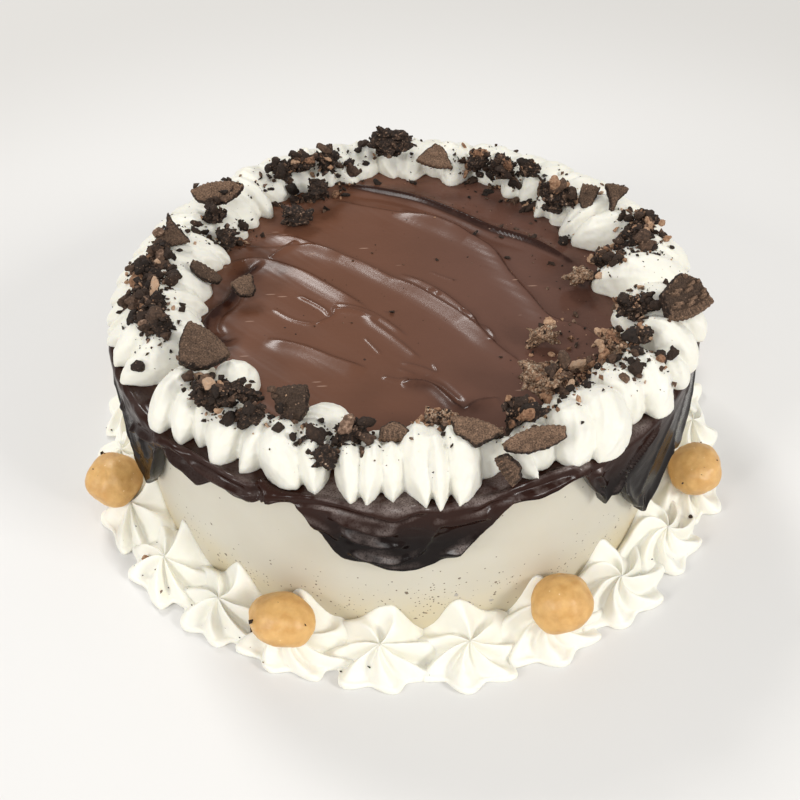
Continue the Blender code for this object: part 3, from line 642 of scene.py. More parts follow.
def build_fudge():
    """One closed skin: the drawn top, the rim, the skirt of drips, the lip and the hidden inner side."""
    azimuths = np.linspace(0.0, 360.0, FUDGE_COLUMNS, endpoint=False)
    radii = np.concatenate([np.arange(*span) for span in FUDGE_RINGS])
    top = np.array([around(azimuths, radius, FUDGE_TOP) for radius in radii])
    right = top[..., 0]
    back = top[..., 1]
    across, down = SPATULA_WAY
    lay = np.stack([right * across - back * down, right * down + back * across], axis=-1)
    swell = np.zeros(top.shape[:2])
    for long, wide, layer, height in TOP_WAVES:
        waves = np.stack([lay[..., 0] / long, lay[..., 1] / wide, np.full(swell.shape, layer)], axis=-1)
        swell += height * fold_noise(waves, 1.0)
    swell += stroke_height(top[..., :2], TOP_STROKES) + stroke_height(top[..., :2], TOP_NICKS)
    swell *= 1.0 - between_steps(radii, 76.0, 92.0)[:, None]
    top[..., 2] += swell - FUDGE_SINK

    low = fudge_edge(azimuths)
    for where, length, half_width in FUDGE_TIPS:
        x = np.clip(np.abs(turn_gap(azimuths, where)) / half_width, 0.0, 1.0)
        low = low - length * (1.0 - x) ** 1.6
    outer_band = radii > 93.0
    band = radii[outer_band][:, None] + np.zeros(FUDGE_COLUMNS)
    fade = between_steps(band, 93.0, 98.0)
    top[outer_band, :, 2] += fade * rim_swell(azimuths + 0.0 * band, FUDGE_RIM_RADIUS - band, low)
    rim = FUDGE_RIM_RADIUS - FUDGE_RIM_ROUND
    rings = list(top)
    for angle in np.radians(RIM_ANGLES):
        out = rim + FUDGE_RIM_ROUND * math.sin(angle)
        height = FUDGE_TOP - FUDGE_RIM_ROUND * (1.0 - math.cos(angle))
        way = np.full(FUDGE_COLUMNS, (FUDGE_RIM_RADIUS - out) * math.cos(angle) - (FUDGE_TOP - height))
        swell = rim_swell(azimuths, way, low)
        rings.append(around(azimuths, out + swell * math.sin(angle), height + swell * math.cos(angle)))
    shoulder = FUDGE_TOP - FUDGE_RIM_ROUND
    for share in np.linspace(0.0, 1.0, SKIRT_RINGS):
        heights = shoulder + (low + FUDGE_LIP - shoulder) * share
        radius = FUDGE_RIM_RADIUS + rim_swell(azimuths, heights - FUDGE_TOP, low)
        rings.append(around(azimuths, radius, heights))
    outer = np.hypot(rings[-1][:, 0], rings[-1][:, 1])
    for angle in np.radians(LIP_ANGLES):
        out = outer - FUDGE_LIP * (1.0 - math.cos(angle))
        rings.append(around(azimuths, out, low + FUDGE_LIP * (1.0 - math.sin(angle))))
    rings.append(around(azimuths, FUDGE_INNER + 0.6, low + 0.1))
    rings.append(around(azimuths, FUDGE_INNER, np.minimum(low + 1.0, FUDGE_UNDER - 0.3)))
    rings.append(around(azimuths, FUDGE_INNER, FUDGE_UNDER))
    rings.append(around(azimuths, BODY_MIDDLE, FUDGE_UNDER))
    coat = loft("fudge_pour", rings)
    side = np.concatenate([np.hypot(ring[:, 0], ring[:, 1]) for ring in rings] + [np.zeros(2)])
    add_value(coat, "skirt", between_steps(side, 84.0, 101.0))
    ridges = [stroke for stroke in TOP_STROKES + TOP_NICKS if stroke[1] > 0.0]
    # painted shade: a thin dark line along the steep side of each ridge, stored with the dark smears
    ridge_shade_lines = [(line, 0.5 * height, 0.9, 0.35) for line, height, _, _ in ridges]
    flat = np.concatenate([np.concatenate(rings)[:, :2], np.full((2, 2), 999.0)])
    shade = stroke_height(flat, ridge_shade_lines) + stroke_height(flat, TOP_SMEARS_AND_SHADOW)
    add_value(coat, "smear_and_shade", np.clip(shade, 0.0, 1.6))
    return coat


def fudge_finish():
    """Warm brown on top, near black on the skirt, with dark smears, painted shade on steep flanks and
    beside ridges, scratches and a painted sheen on the skirt.
    """
    material, tree, shader = new_material(
        "poured fudge", Specular_IOR_Level=0.02, Coat_Roughness=0.2, Coat_IOR=2.1
    )
    skirt = stored(tree, "skirt")
    patches = mottled(tree, 26.0, 1.6)
    place = place_parts(tree)
    rightward = between(tree, place["X"], -0.03, 0.05)
    warm = blend(tree, patches, *FUDGE_WARM)
    cool = blend(tree, patches, *FUDGE_COOL)
    drawn_out = blend(tree, rightward, warm, cool)
    smear_and_shade = stored(tree, "smear_and_shade")
    streaks = mottled(tree, 5.0, 2.4, 0.15)
    facing = tree.nodes.new("ShaderNodeNewGeometry")
    upturned = node(tree, "ShaderNodeSeparateXYZ", {"Vector": facing.outputs["Normal"]}).outputs["Z"]
    # painted shade: the steeper the top's surface, the darker its colour
    steep = between(tree, upturned, 0.93, 0.6, 0.0, 0.85)
    shaded_smear = times(tree, smear_and_shade, sums(tree, "MULTIPLY_ADD", streaks, 0.65, 0.4))
    dark_share = sums(tree, "MINIMUM", sums(tree, "MAXIMUM", shaded_smear, steep), 1.0)
    top = blend(tree, dark_share, drawn_out, FUDGE_SMEAR_AND_SHADE)
    low_down = between(tree, place["Z"], 0.068, 0.052)
    side = blend(tree, low_down, *FUDGE_SKIRT)
    cloudy = mottled(tree, 9.0, 4.5, -0.12)
    peppered = mottled(tree, 0.5, 3.0, 0.35)
    sheen_side = between(tree, place["X"], -0.065, -0.03, 0.15, 1.0)
    # painted sheen: patches on the skirt's up-facing parts at the left are lightened, standing in for a
    # reflection
    painted_sheen = times(tree, between(tree, upturned, 0.25, 0.8), times(tree, cloudy, peppered))
    painted_sheen = times(tree, painted_sheen, sheen_side)
    satined = blend(tree, times(tree, painted_sheen, 0.8), side, FUDGE_PAINTED_SHEEN)
    colour = blend(tree, skirt, top, satined)
    strokes = place_in_mm(tree, (0.16, 1.0, 1.0), turn=43.0)
    cells = node(tree, "ShaderNodeTexVoronoi", {"Vector": strokes, "Scale": 0.62})
    chance = node(tree, "ShaderNodeSeparateColor", {"Color": cells.outputs["Color"]})
    held = sums(tree, "LESS_THAN", chance.outputs[0], 0.055)
    dash = times(tree, between(tree, cells.outputs["Distance"], 0.22, 0.12), held)
    on_top = sums(tree, "SUBTRACT", 1.0, skirt)
    dash = times(tree, dash, on_top)
    scratched = blend(tree, times(tree, dash, 0.55), colour, FUDGE_SCRATCH)
    crumb = specked(tree, 7.0, 0.8, 0.09)
    crumbed = blend(tree, times(tree, crumb, 0.8), scratched, FUDGE_CRUMB)
    paint(tree, shader, crumbed)
    drawn = node(tree, "ShaderNodeTexNoise", {"Vector": strokes, "Scale": 0.35, "Detail": 4.0})
    satin = between(tree, drawn.outputs["Fac"], 0.3, 0.7, 0.24, 0.33)
    satin = sums(tree, "MULTIPLY_ADD", skirt, sums(tree, "SUBTRACT", 0.19, satin), satin)
    tree.links.new(satin, shader.inputs["Roughness"])
    gloss = sums(tree, "MULTIPLY_ADD", skirt, -0.02, 0.14)
    tree.links.new(gloss, shader.inputs["Coat Weight"])
    fine = sums(tree, "MULTIPLY_ADD", dash, 0.6, drawn.outputs["Fac"])
    bump(tree, shader, fine, 0.26, 0.38)
    return material


fudge = build_fudge()
fudge.data.materials.append(fudge_finish())
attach(fudge, "root")
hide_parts("fudge_coat")


# Piped shells on the rim
# Whipped cream pressed from an open star nozzle, one shell beside the next. Each shell is two or
# three swollen lobes that start in a blunt end over the fudge and are drawn out to points at the rim.
SHELL_BASE = 69.0
SHELL_INNER = 73.0
SHELL_TIP = 104.3
SHELL_HEIGHT = 14.2
SHELL_WHITES = ((0.765, 0.745, 0.66), (0.805, 0.79, 0.715))
# each shell round the back: azimuth, lobes, change of reach, height share, spread share, lean along
# the rim
SHELLS = (
    (112, 2, 0.5, 1, 1.08, -3),
    (126, 3, 0, 0.94, 1.05, -2),
    (140, 2, 0, 0.92, 1.05, -2),
    (153.5, 3, -0.5, 0.86, 1, -1),
    (166.5, 2, 0, 0.84, 1, 0),
    (179, 3, 0, 0.86, 1, 0),
    (191.5, 2, 0, 0.9, 1, 0),
    (204, 3, 0, 0.94, 1, 1),
    (216.5, 2, 0, 1.04, 1, 2),
    (229, 3, 0.5, 0.98, 1, 2),
    (241.5, 2, 1, 1, 1, 3),
    (254, 3, 1, 0.94, 1, 3),
    (266.5, 2, 1.5, 0.98, 1.05, 3),
    (279, 3, 1.5, 0.94, 1.05, 3),
    (291.5, 2, 1, 0.98, 1, 3),
)


def lobe_layout(count):
    """Lateral middle, lateral tip, half width and height share of the lobes of one shell."""
    if count == 3:
        return ((-6.2, -4.8, 5.4, 0.92), (0.0, 0.2, 4.0, 1.0), (6.2, 5.2, 5.4, 0.92))
    return ((-5.4, -5.0, 6.4, 0.96), (5.2, 4.8, 6.6, 1.0))


# lobes at the front: azimuth and distance of the inner end, of the middle and of the tip, then half
# width, height and bluntness
FRONT_LOBES = (
    (303, 76, 307.5, 95, 311.6, 104.6, 5.6, 12, 0.8),
    (308.5, 80, 313.3, 95, 316.6, 104.3, 4.5, 11, 0.5),
    (314, 80, 317.5, 92.5, 319.7, 100.8, 3.8, 10.5, 0.3),
    (320, 80, 323.4, 94, 324.6, 104.4, 5.3, 12, 0.3),
    (326.5, 80, 329.7, 92.5, 329.5, 102.8, 4.5, 12, 0.2),
    (332, 77, 336, 93, 340.8, 102.5, 6.3, 13.6, 0.5),
    (339, 77, 341.8, 92, 344, 103.4, 4.2, 12.6, 0.2),
    (346, 79, 349, 94, 350, 104.9, 3.9, 11.5, 0.1),
    (351.5, 78, 352.8, 94, 352.6, 105.2, 3.4, 12.4, 0.1),
    (356, 79, 356.4, 93, 356.9, 102.8, 4, 11.4, 0),
    (2.2, 74, 1.2, 89.5, 2.3, 106, 5.5, 13.8, 0.2),
    (4.4, 75, 5.2, 93, 4.3, 107, 3, 13.8, 0),
    (7.2, 74, 9.4, 92, 7.5, 106, 5.7, 13.8, 0.1),
    (13, 80, 13.6, 88, 14.2, 96.8, 7.4, 8.6, 1),
    (17, 84, 19.6, 94, 21.9, 104, 3.4, 8.8, 0.2),
    (25, 82, 24.2, 92, 24.1, 100.2, 6, 9.8, 1),
    (36, 79, 31.3, 94.5, 27.8, 103.4, 6.2, 13.4, 0.7),
    (42, 79, 37.8, 96.5, 32.4, 106.2, 7.2, 14.2, 0.5),
    (50, 80, 46.4, 93, 43, 100.8, 5.8, 12.6, 1),
    (58, 79, 52.8, 96.5, 47.6, 106.2, 6.8, 14.2, 0.7),
    (62.5, 91, 59.4, 100.5, 56.8, 106.3, 4.2, 8.6, 1),
    (70.5, 80, 65.4, 97, 61.9, 106.3, 6.6, 13.4, 0.9),
    (79, 75, 75.4, 94, 71, 106.5, 7, 14.2, 0.9),
    (88.5, 68, 86.6, 88, 82, 106.5, 7.8, 14.8, 1),
    (98, 74, 96.6, 92, 93, 105.5, 6.8, 13.8, 0.8),
    (311, 76, 315.5, 87, 318.5, 97, 9.5, 9, 1),
    (336, 75, 339, 87, 342, 97, 9, 10.5, 1),
    (350.5, 77, 352.5, 87, 353, 98, 9, 9.5, 1),
    (4.5, 73, 5, 87, 4.8, 99, 9, 11, 1),
    (39, 77, 35, 90, 31, 99, 10, 11, 1),
    (54, 78, 50, 90, 46, 98, 9.5, 11, 1),
    (75, 75, 71, 90, 67, 100, 10, 11, 1),
    (94, 71, 92, 88, 88, 99, 10.5, 12, 1),
    (307, 69, 311.5, 75, 316, 82, 7, 9.6, 1),
    (333, 74.5, 340, 74, 347, 77.5, 5.4, 8, 1),
)
LOBE_STATIONS = 32
LOBE_COLUMNS = 36
LOBE_UNDER = 0.8
LOBE_OVERLAP = 1.16
SHELL_SKIN_STEP = 0.55


def draw(rng, low, high):
    """One random number from a range."""
    return float(rng.uniform(low, high))


def plan(azimuth, radius):
    """Flat place at an azimuth and distance."""
    turn = math.radians(azimuth)
    return np.array((radius * math.sin(turn), -radius * math.cos(turn)))


def lobe_rings(start, middle, end, half_width, height, blunt, rng):
    """Rings of one lobe along a bent line, from its round inner end to its drawn tip."""
    stations = 0.004 + 0.992 * (1.0 - np.cos(np.linspace(0.0, math.pi, LOBE_STATIONS))) / 2.0
    angles = np.linspace(0.0, 2.0 * math.pi, LOBE_COLUMNS, endpoint=False)
    bend = 2.0 * middle - (start + end) / 2.0
    lean = draw(rng, -0.15, 0.15)
    curl = draw(rng, 0.0, 0.8)
    rings = []
    for s in stations:
        spot = (1.0 - s) ** 2 * start + 2.0 * s * (1.0 - s) * bend + s * s * end
        ahead = 2.0 * (1.0 - s) * (bend - start) + 2.0 * s * (end - bend)
        ahead /= np.linalg.norm(ahead)
        beside = np.array((-ahead[1], ahead[0]))
        swell = math.sin(math.pi * s)
        power = 0.52 if s < 0.5 else 0.52 + 0.55 * (1.0 - blunt)
        wide = half_width * swell**power
        high = height * math.sin(math.pi * s**0.86) ** (0.6 + 0.12 * (1.0 - blunt))
        upward = np.sin(angles)
        lift = np.where(upward > 0.0, np.abs(upward) ** 0.7 * high, upward * LOBE_UNDER)
        lift = lift + max(0.0, s - 0.8) * 5.0 * curl
        across = np.cos(angles) * wide + lean * lift
        flat = spot[None, :] + across[:, None] * beside[None, :]
        rings.append(np.column_stack([flat, SHELL_BASE + lift]))
    return np.array(rings)


def ring_lobes():
    """Lobes of the whole ring: those at the front one by one, the rest from the shells."""
    lobes = [(plan(*row[0:2]), plan(*row[2:4]), plan(*row[4:6]), *row[6:]) for row in FRONT_LOBES]
    for azimuth, count, reach, rise, spread, lean in SHELLS:
        rng = np.random.default_rng(int(azimuth * 10))
        behind = 1.0 - between_steps(abs(turn_gap(azimuth, 183.0)), 36.0, 62.0)
        first = SHELL_INNER - 3.0 + 5.5 * behind
        for lateral, tip, half_width, share in lobe_layout(count):
            spots = []
            inner = first + draw(rng, -2.5, 4.5)
            lateral += draw(rng, -1.2, 1.2)
            half_width *= draw(rng, 0.84, 1.2)
            share *= draw(rng, 0.86, 1.03) * (1.0 - 0.16 * behind)
            for s, side in ((0.0, lateral * 0.5), (0.5, lateral), (1.0, tip)):
                out = inner + (SHELL_TIP + reach - inner) * s
                along = spread * side + lean * (2.0 * s - 1.0)
                spots.append(plan(azimuth + math.degrees(math.atan2(along, out)), math.hypot(along, out)))
            lobes.append((*spots, half_width * spread, SHELL_HEIGHT * rise * share, 0.6))
        # a broad low lobe under the others fills the shell
        ends = (first + 3.0, (first + 3.0 + SHELL_TIP) / 2, SHELL_TIP + reach - 6.0)
        height = SHELL_HEIGHT * rise * (0.86 - 0.1 * behind)
        lobes.append((*(plan(azimuth, out) for out in ends), 10.0 * spread, height, 1.0))
    return lobes


def melt_together(items, name):
    """Joins closed pieces that overlap into one skin."""
    group = bpy.data.collections.new(name)
    bpy.context.scene.collection.children.link(group)
    first = items[0]
    for item in items[1:]:
        bpy.context.scene.collection.objects.unlink(item)
        group.objects.link(item)
    step = first.modifiers.new("join", "BOOLEAN")
    step.operation = "UNION"
    step.solver = "MANIFOLD"
    step.operand_type = "COLLECTION"
    step.collection = group
    bpy.context.view_layer.update()
    graph = bpy.context.evaluated_depsgraph_get()
    mesh = bpy.data.meshes.new_from_object(first.evaluated_get(graph))
    for item in items:
        bpy.data.objects.remove(item, do_unlink=True)
    bpy.data.collections.remove(group)
    return set_down(name, mesh)


def remeshed(item, step, soften=0):
    """The same form with an even skin, softened where rounds are given."""
    skin = item.modifiers.new("skin", "REMESH")
    skin.mode = "VOXEL"
    skin.voxel_size = step * MM
    if soften:
        ease = item.modifiers.new("ease", "SMOOTH")
        ease.factor = 0.5
        ease.iterations = soften
    graph = bpy.context.evaluated_depsgraph_get()
    mesh = bpy.data.meshes.new_from_object(item.evaluated_get(graph))
    item.modifiers.clear()
    old = item.data
    item.data = mesh
    bpy.data.meshes.remove(old)
    mesh.shade_smooth()
    return item


def mesh_arrays(item):
    """Places in millimetres and normals of an object's points."""
    count = len(item.data.vertices)
    points = np.empty(count * 3)
    normals = np.empty(count * 3)
    item.data.vertices.foreach_get("co", points)
    item.data.vertices.foreach_get("normal", normals)
    return points.reshape(-1, 3) / MM, normals.reshape(-1, 3)


def set_points(item, points):
    """Moves an object's points to places in millimetres."""
    item.data.vertices.foreach_set("co", (points * MM).ravel())
    item.data.update()


def build_border():
    """Lobes with the fine lines that the nozzle leaves, melted into one skin."""
    skins = []
    for number, (start, middle, end, half_width, height, blunt) in enumerate(ring_lobes()):
        rng = np.random.default_rng(200 + number)
        half_width *= LOBE_OVERLAP * draw(rng, 0.97, 1.05)
        rings = lobe_rings(start, middle, end, half_width, height, blunt, rng)
        across = np.cos(np.linspace(0.0, 2.0 * math.pi, rings.shape[1], endpoint=False)) * half_width / 1.7
        along = np.linspace(0.0, 2.6, rings.shape[0])[:, None]
        lines = np.stack(np.broadcast_arrays(across[None, :], along, number * 4.7), axis=-1)
        soft = fold_noise(rings, 7.0) * 0.6 + fold_noise(lines, 1.0) * 0.9
        core = rings.mean(axis=1, keepdims=True)
        away = rings - core
        away /= np.maximum(np.linalg.norm(away, axis=-1, keepdims=True), 0.5)
        skins.append(loft("lobe", rings + away * soft[..., None]))
    border = remeshed(melt_together(skins, "piped_shells"), SHELL_SKIN_STEP, soften=2)
    points, normals = mesh_arrays(border)
    rough = fold_noise(points, 3.4) * 0.28 + fold_noise(points, 1.5) * 0.12
    set_points(border, points + normals * rough[:, None])
    border.data.materials.clear()
    return border


def cream_finish(name, deep, light):
    """Whipped cream, between two close whites."""
    material, tree, shader = new_material(
        name,
        Roughness=0.5,
        Subsurface_Weight=0.22,
        Subsurface_Radius=(1.0, 0.82, 0.5),
        Subsurface_Scale=0.0018,
    )
    patches = mottled(tree, 9.0, 1.5)
    colour = blend(tree, patches, deep, light)
    paint(tree, shader, colour)
    grained(tree, shader, (2.2, 0.45, 0.35), 0.3, 0.35)
    return material


shell_cream = cream_finish("whipped cream", *SHELL_WHITES)
border = build_border()
border.data.materials.append(shell_cream)
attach(border, "root")
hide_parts("top_cream_border")


# Piped stars round the foot
# Whipped cream pressed down from a star nozzle against the wall, twenty-four stars side by side.
# Each has a peak in its middle, sharp twisting ridges, and wide hollows that end in thin scallops.
STAR_COUNT = 24
STAR_FIRST = 9.0
STAR_RADIUS = 112.3
STAR_PEAK = 11.0
STAR_REACH_OUT = 12.8
STAR_REACH_SIDE = 20.6
STAR_VALLEY_REACH = 0.76
STAR_VALLEY_DEPTH = 3.5
STAR_FOOT = 0.9
STAR_EDGE = 3.4
STAR_RIDGES = 7
STAR_COLUMNS_PER_RIDGE = 16
STAR_EDGE_START = 0.9
STAR_EDGE_SPAN = 0.1
STAR_BACK_RISE = 3.2
STAR_WHITES = ((0.855, 0.835, 0.745), (0.895, 0.88, 0.80))
STAR_TWIST = 0.85
STAR_CLIMB = 12.5
STAR_CLIMB_HALF_WIDTH = 8.5
# turns of the first ridge of the stars at the front, in degrees
STAR_TURNS = {0: -9.0, 1: -7.0, 23: 18.0}


def star_rings(number):
    """Rings of one star, from its peak to its foot."""
    azimuth = STAR_FIRST + 360.0 / STAR_COUNT * number
    rng = np.random.default_rng(60 + number)
    phase = draw(rng, -0.3, 0.3) + math.pi
    phase = math.radians(STAR_TURNS.get(number, math.degrees(phase)))
    twist = STAR_TWIST * draw(rng, 0.5, 1.3)
    peak = STAR_PEAK * draw(rng, 0.94, 1.05)
    reaches = rng.uniform(0.88, 1.08, STAR_RIDGES)
    swings = rng.uniform(-0.09, 0.09, STAR_RIDGES)
    lifts = rng.uniform(-1.0, 1.2, STAR_RIDGES)
    columns = np.arange(STAR_COLUMNS_PER_RIDGE * STAR_RIDGES)
    share = (columns % STAR_COLUMNS_PER_RIDGE) / STAR_COLUMNS_PER_RIDGE
    crest = (0.5 + 0.5 * np.cos(2.0 * math.pi * share**0.8)) ** 1.25
    ridge = columns // STAR_COLUMNS_PER_RIDGE
    rise_share = (1.0 - np.cos(math.pi * share)) / 2.0
    after = (ridge + 1) % STAR_RIDGES
    reach_here, lift_here, swing_here = (
        each[ridge] * (1.0 - rise_share) + each[after] * rise_share for each in (reaches, lifts, swings)
    )
    edge = STAR_EDGE * (0.6 + 0.4 * crest)
    rounded = STAR_EDGE_START + STAR_EDGE_SPAN * np.sin(np.linspace(0.2, math.pi / 2, 7))
    stations = np.concatenate([np.linspace(0.03, STAR_EDGE_START, 26), rounded])
    rings = []
    for t in stations:
        turn = phase + 2.0 * math.pi * columns / len(columns) + twist * (t - 1.0) + swing_here
        inward = between_steps(-np.cos(turn), -0.1, 0.35)
        valley = STAR_VALLEY_REACH + (1.0 - STAR_VALLEY_REACH) * crest**0.75
        square = (np.abs(np.cos(turn)) ** 4 + np.abs(np.sin(turn)) ** 4) ** -0.25
        reach = reach_here * valley * (1.0 - inward) + 1.03 * square * inward
        u = STAR_REACH_OUT * reach * t * np.cos(turn)
        v = STAR_REACH_SIDE * reach * t * np.sin(turn)
        inner = min(1.0, t / STAR_EDGE_START)
        body_height = edge + (peak - edge) * (1.0 - inner**1.5) + lift_here * math.sin(math.pi * inner)
        hollow = STAR_VALLEY_DEPTH * (1.0 - crest) * math.sin(math.pi * inner**0.9) ** 0.8
        if t > STAR_EDGE_START:
            fall = math.sqrt(max(0.0, 1.0 - ((t - STAR_EDGE_START) / STAR_EDGE_SPAN) ** 2))
            body_height = STAR_FOOT + (body_height - STAR_FOOT) * fall
        toward_wall = np.clip(-u / (STAR_RADIUS - BODY_RADIUS), 0.0, 1.0)
        climb = STAR_CLIMB * toward_wall**1.4 * np.exp(-((v / STAR_CLIMB_HALF_WIDTH) ** 2))
        climb += STAR_BACK_RISE * toward_wall * (0.4 + 0.6 * crest)
        rings.append(np.stack([u, v, body_height - hollow + climb], axis=-1))
    rings = np.array(rings)
    turn = math.radians(azimuth)
    outward = np.array((math.sin(turn), -math.cos(turn), 0.0))
    beside = np.array((math.cos(turn), math.sin(turn), 0.0))
    centre = outward * STAR_RADIUS
    rings = rings[..., 0:1] * outward + rings[..., 1:2] * beside + rings[..., 2:3] * (0, 0, 1) + centre
    soft = fold_noise(rings, 5.5) * 0.75 + fold_noise(rings, 2.2) * 0.22 + fold_noise(rings, 1.0) * 0.07
    rings[..., 2] = np.maximum(rings[..., 2] + soft, 0.25)
    foot = rings[-1].copy()
    foot[:, 2] = 0.02
    inward = (foot - rings[0].mean(axis=0)) * (0.05, 0.05, 0.0)
    under = foot - inward
    return np.concatenate([rings, under[None]])


star_cream = cream_finish("whipped cream of the stars", *STAR_WHITES)
stars = []
for number in range(STAR_COUNT):
    star = loft(f"piped_star_{number + 1:02d}", star_rings(number))
    star.data.materials.append(star_cream)
    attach(star, "root")
    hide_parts(f"base_star_{number + 1:02d}")
    stars.append(star)


# Dough balls
# Cookie dough rolled by hand into balls and pressed into the stars. They are a little uneven, with
# dents and shallow cracks, and hold a few flecks of chocolate.
DOUGH = ((0.58, 0.315, 0.098), (0.73, 0.445, 0.165))
DOUGH_SUGAR = (0.88, 0.70, 0.45)
BALL_ROWS = 48
BALL_COLUMNS = 80
DOUGH_CHOCOLATE = (0.07, 0.025, 0.012)
# each ball: azimuth, distance and height of its middle, half sizes along the rim, outward and up
BALLS = (
    (25, 113, 17.2, 10.7, 10.2, 9.6),
    (67.3, 113.2, 16.4, 11, 9.8, 8.6),
    (113, 114, 17, 10.8, 10, 9.2),
    (159.5, 113.6, 16.8, 11, 9.8, 9),
    (203, 114.2, 17, 10.6, 10.4, 9.4),
    (248.5, 113.5, 16.8, 11, 10, 9),
    (290, 115.4, 17, 10.8, 10.4, 9.8),
    (337.5, 113.2, 16.6, 11.4, 9.6, 8.4),
)


def build_ball(number):
    """A dented, cracked round of dough."""
    azimuth, radius, height, beside, out, up = BALLS[number]
    spin = math.radians(azimuth)
    tilt = np.linspace(0.02, math.pi - 0.02, BALL_ROWS)[:, None]
    turn = np.linspace(0.0, 2.0 * math.pi, BALL_COLUMNS, endpoint=False)[None, :]
    sides = (np.sin(tilt) * np.cos(turn), np.sin(tilt) * np.sin(turn), np.cos(tilt))
    unit = np.stack(np.broadcast_arrays(*sides), axis=-1)
    offset = np.array((number * 3.7, 0.0, 1.0))
    dents = 0.075 * fold_noise(unit + offset, 0.8) + 0.03 * fold_noise(unit + offset, 0.35)
    dents += 0.008 * fold_noise(unit + offset, 0.1)
    crack = np.abs(fold_noise(unit * (1.0, 1.0, 0.5) + offset + 7.0, 0.8))
    dents -= 0.022 * np.exp(-((crack / 0.05) ** 2)) * (fold_noise(unit + offset, 0.5) > 0.05)
    shape = unit * (0.975 + dents)[..., None] * (beside, out, up)
    swung = shape.copy()
    swung[..., 0] = shape[..., 0] * math.cos(spin) - shape[..., 1] * math.sin(spin)
    swung[..., 1] = shape[..., 0] * math.sin(spin) + shape[..., 1] * math.cos(spin)
    return loft(f"rolled_dough_{number + 1}", swung + around(azimuth, radius, height))


def dough_finish():
    """Golden dough with pale sugar and dark flecks."""
    material, tree, shader = new_material(
        "cookie dough",
        Roughness=0.42,
        Subsurface_Weight=0.15,
        Subsurface_Radius=(1.0, 0.6, 0.3),
        Subsurface_Scale=0.002,
    )
    patches = mottled(tree, 4.0, 2.6)
    colour = blend(tree, patches, *DOUGH)
    pale = specked(tree, 2.4, 0.32, 0.35)
    sugared = blend(tree, times(tree, pale, 0.55), colour, DOUGH_SUGAR)
    dark = specked(tree, 9.0, 1.3, 0.12)
    flecked = blend(tree, dark, sugared, DOUGH_CHOCOLATE)
    paint(tree, shader, flecked)
    grained(tree, shader, (2.6, 0.6, 0.35), 0.35, 0.45)
    return material


dough = dough_finish()
balls = []
for number in range(len(BALLS)):
    ball = build_ball(number)
    ball.data.materials.append(dough)
    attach(ball, "root")
    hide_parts(f"dough_ball_{number + 1}")
    balls.append(ball)


# Broken cookies
# Chocolate sandwich cookies broken by hand and strewn over the cream. The larger pieces keep a flat
# face and a ribbed rim, with a crumbly break. The lumps are crumb held together by cream filling.
COOKIE_RADIUS = 22.5
RIB_DEPTH = 0.55
RIB_PITCH = 4.3
BREAK_POINTS = 4
BREAK_JITTER = 0.22
WAFER_SKIN_STEP = 0.42
HEAP_SKIN_STEP = 0.34
# size and height of the crumbs that a skin is broken into
WAFER_CRUMBS = (0.95, 0.3)
HEAP_CRUMBS = (0.8, 0.26)
# splinters of a heap: share of the core, corners of the core and of a splinter
HEAP_CORE = 0.62
CORE_CORNERS = 16
SHARD_CORNERS = 11
# levels of a wafer's edge from the back to the face, each with its inset
WAFER_EDGE = ((-0.5, 0.7), (-0.42, 0.25), (-0.2, 0.0), (0.0, 0.15), (0.2, 0.0), (0.42, 0.25), (0.5, 0.7))
COOKIE_DULL = ((0.058, 0.034, 0.022), (0.090, 0.054, 0.035))
COOKIE_BRIGHT = ((0.215, 0.129, 0.080), (0.310, 0.190, 0.122))
COOKIE_DARKER_FACE = (0.020, 0.0125, 0.009)
COOKIE_CREASE_SHADE = (0.010, 0.0065, 0.005)
COOKIE_GLINT = (0.38, 0.245, 0.165)
# tones of the crumb: place, its shift with filling, colour without filling and with it
CRUMB_TONES = (
    (0, 0, (0.015, 0.010, 0.0075), (0.015, 0.010, 0.0075)),
    (0.46, 0.32, (0.040, 0.023, 0.015), (0.185, 0.092, 0.050)),
    (0.74, 0.45, (0.110, 0.064, 0.041), (0.330, 0.184, 0.107)),
    (0.89, 0.40, (0.26, 0.162, 0.112), (0.48, 0.31, 0.198)),
    (0.985, 0.25, (0.44, 0.31, 0.22), (0.44, 0.31, 0.22)),
    (1, 0, (0.72, 0.60, 0.44), (0.72, 0.60, 0.44)),
)
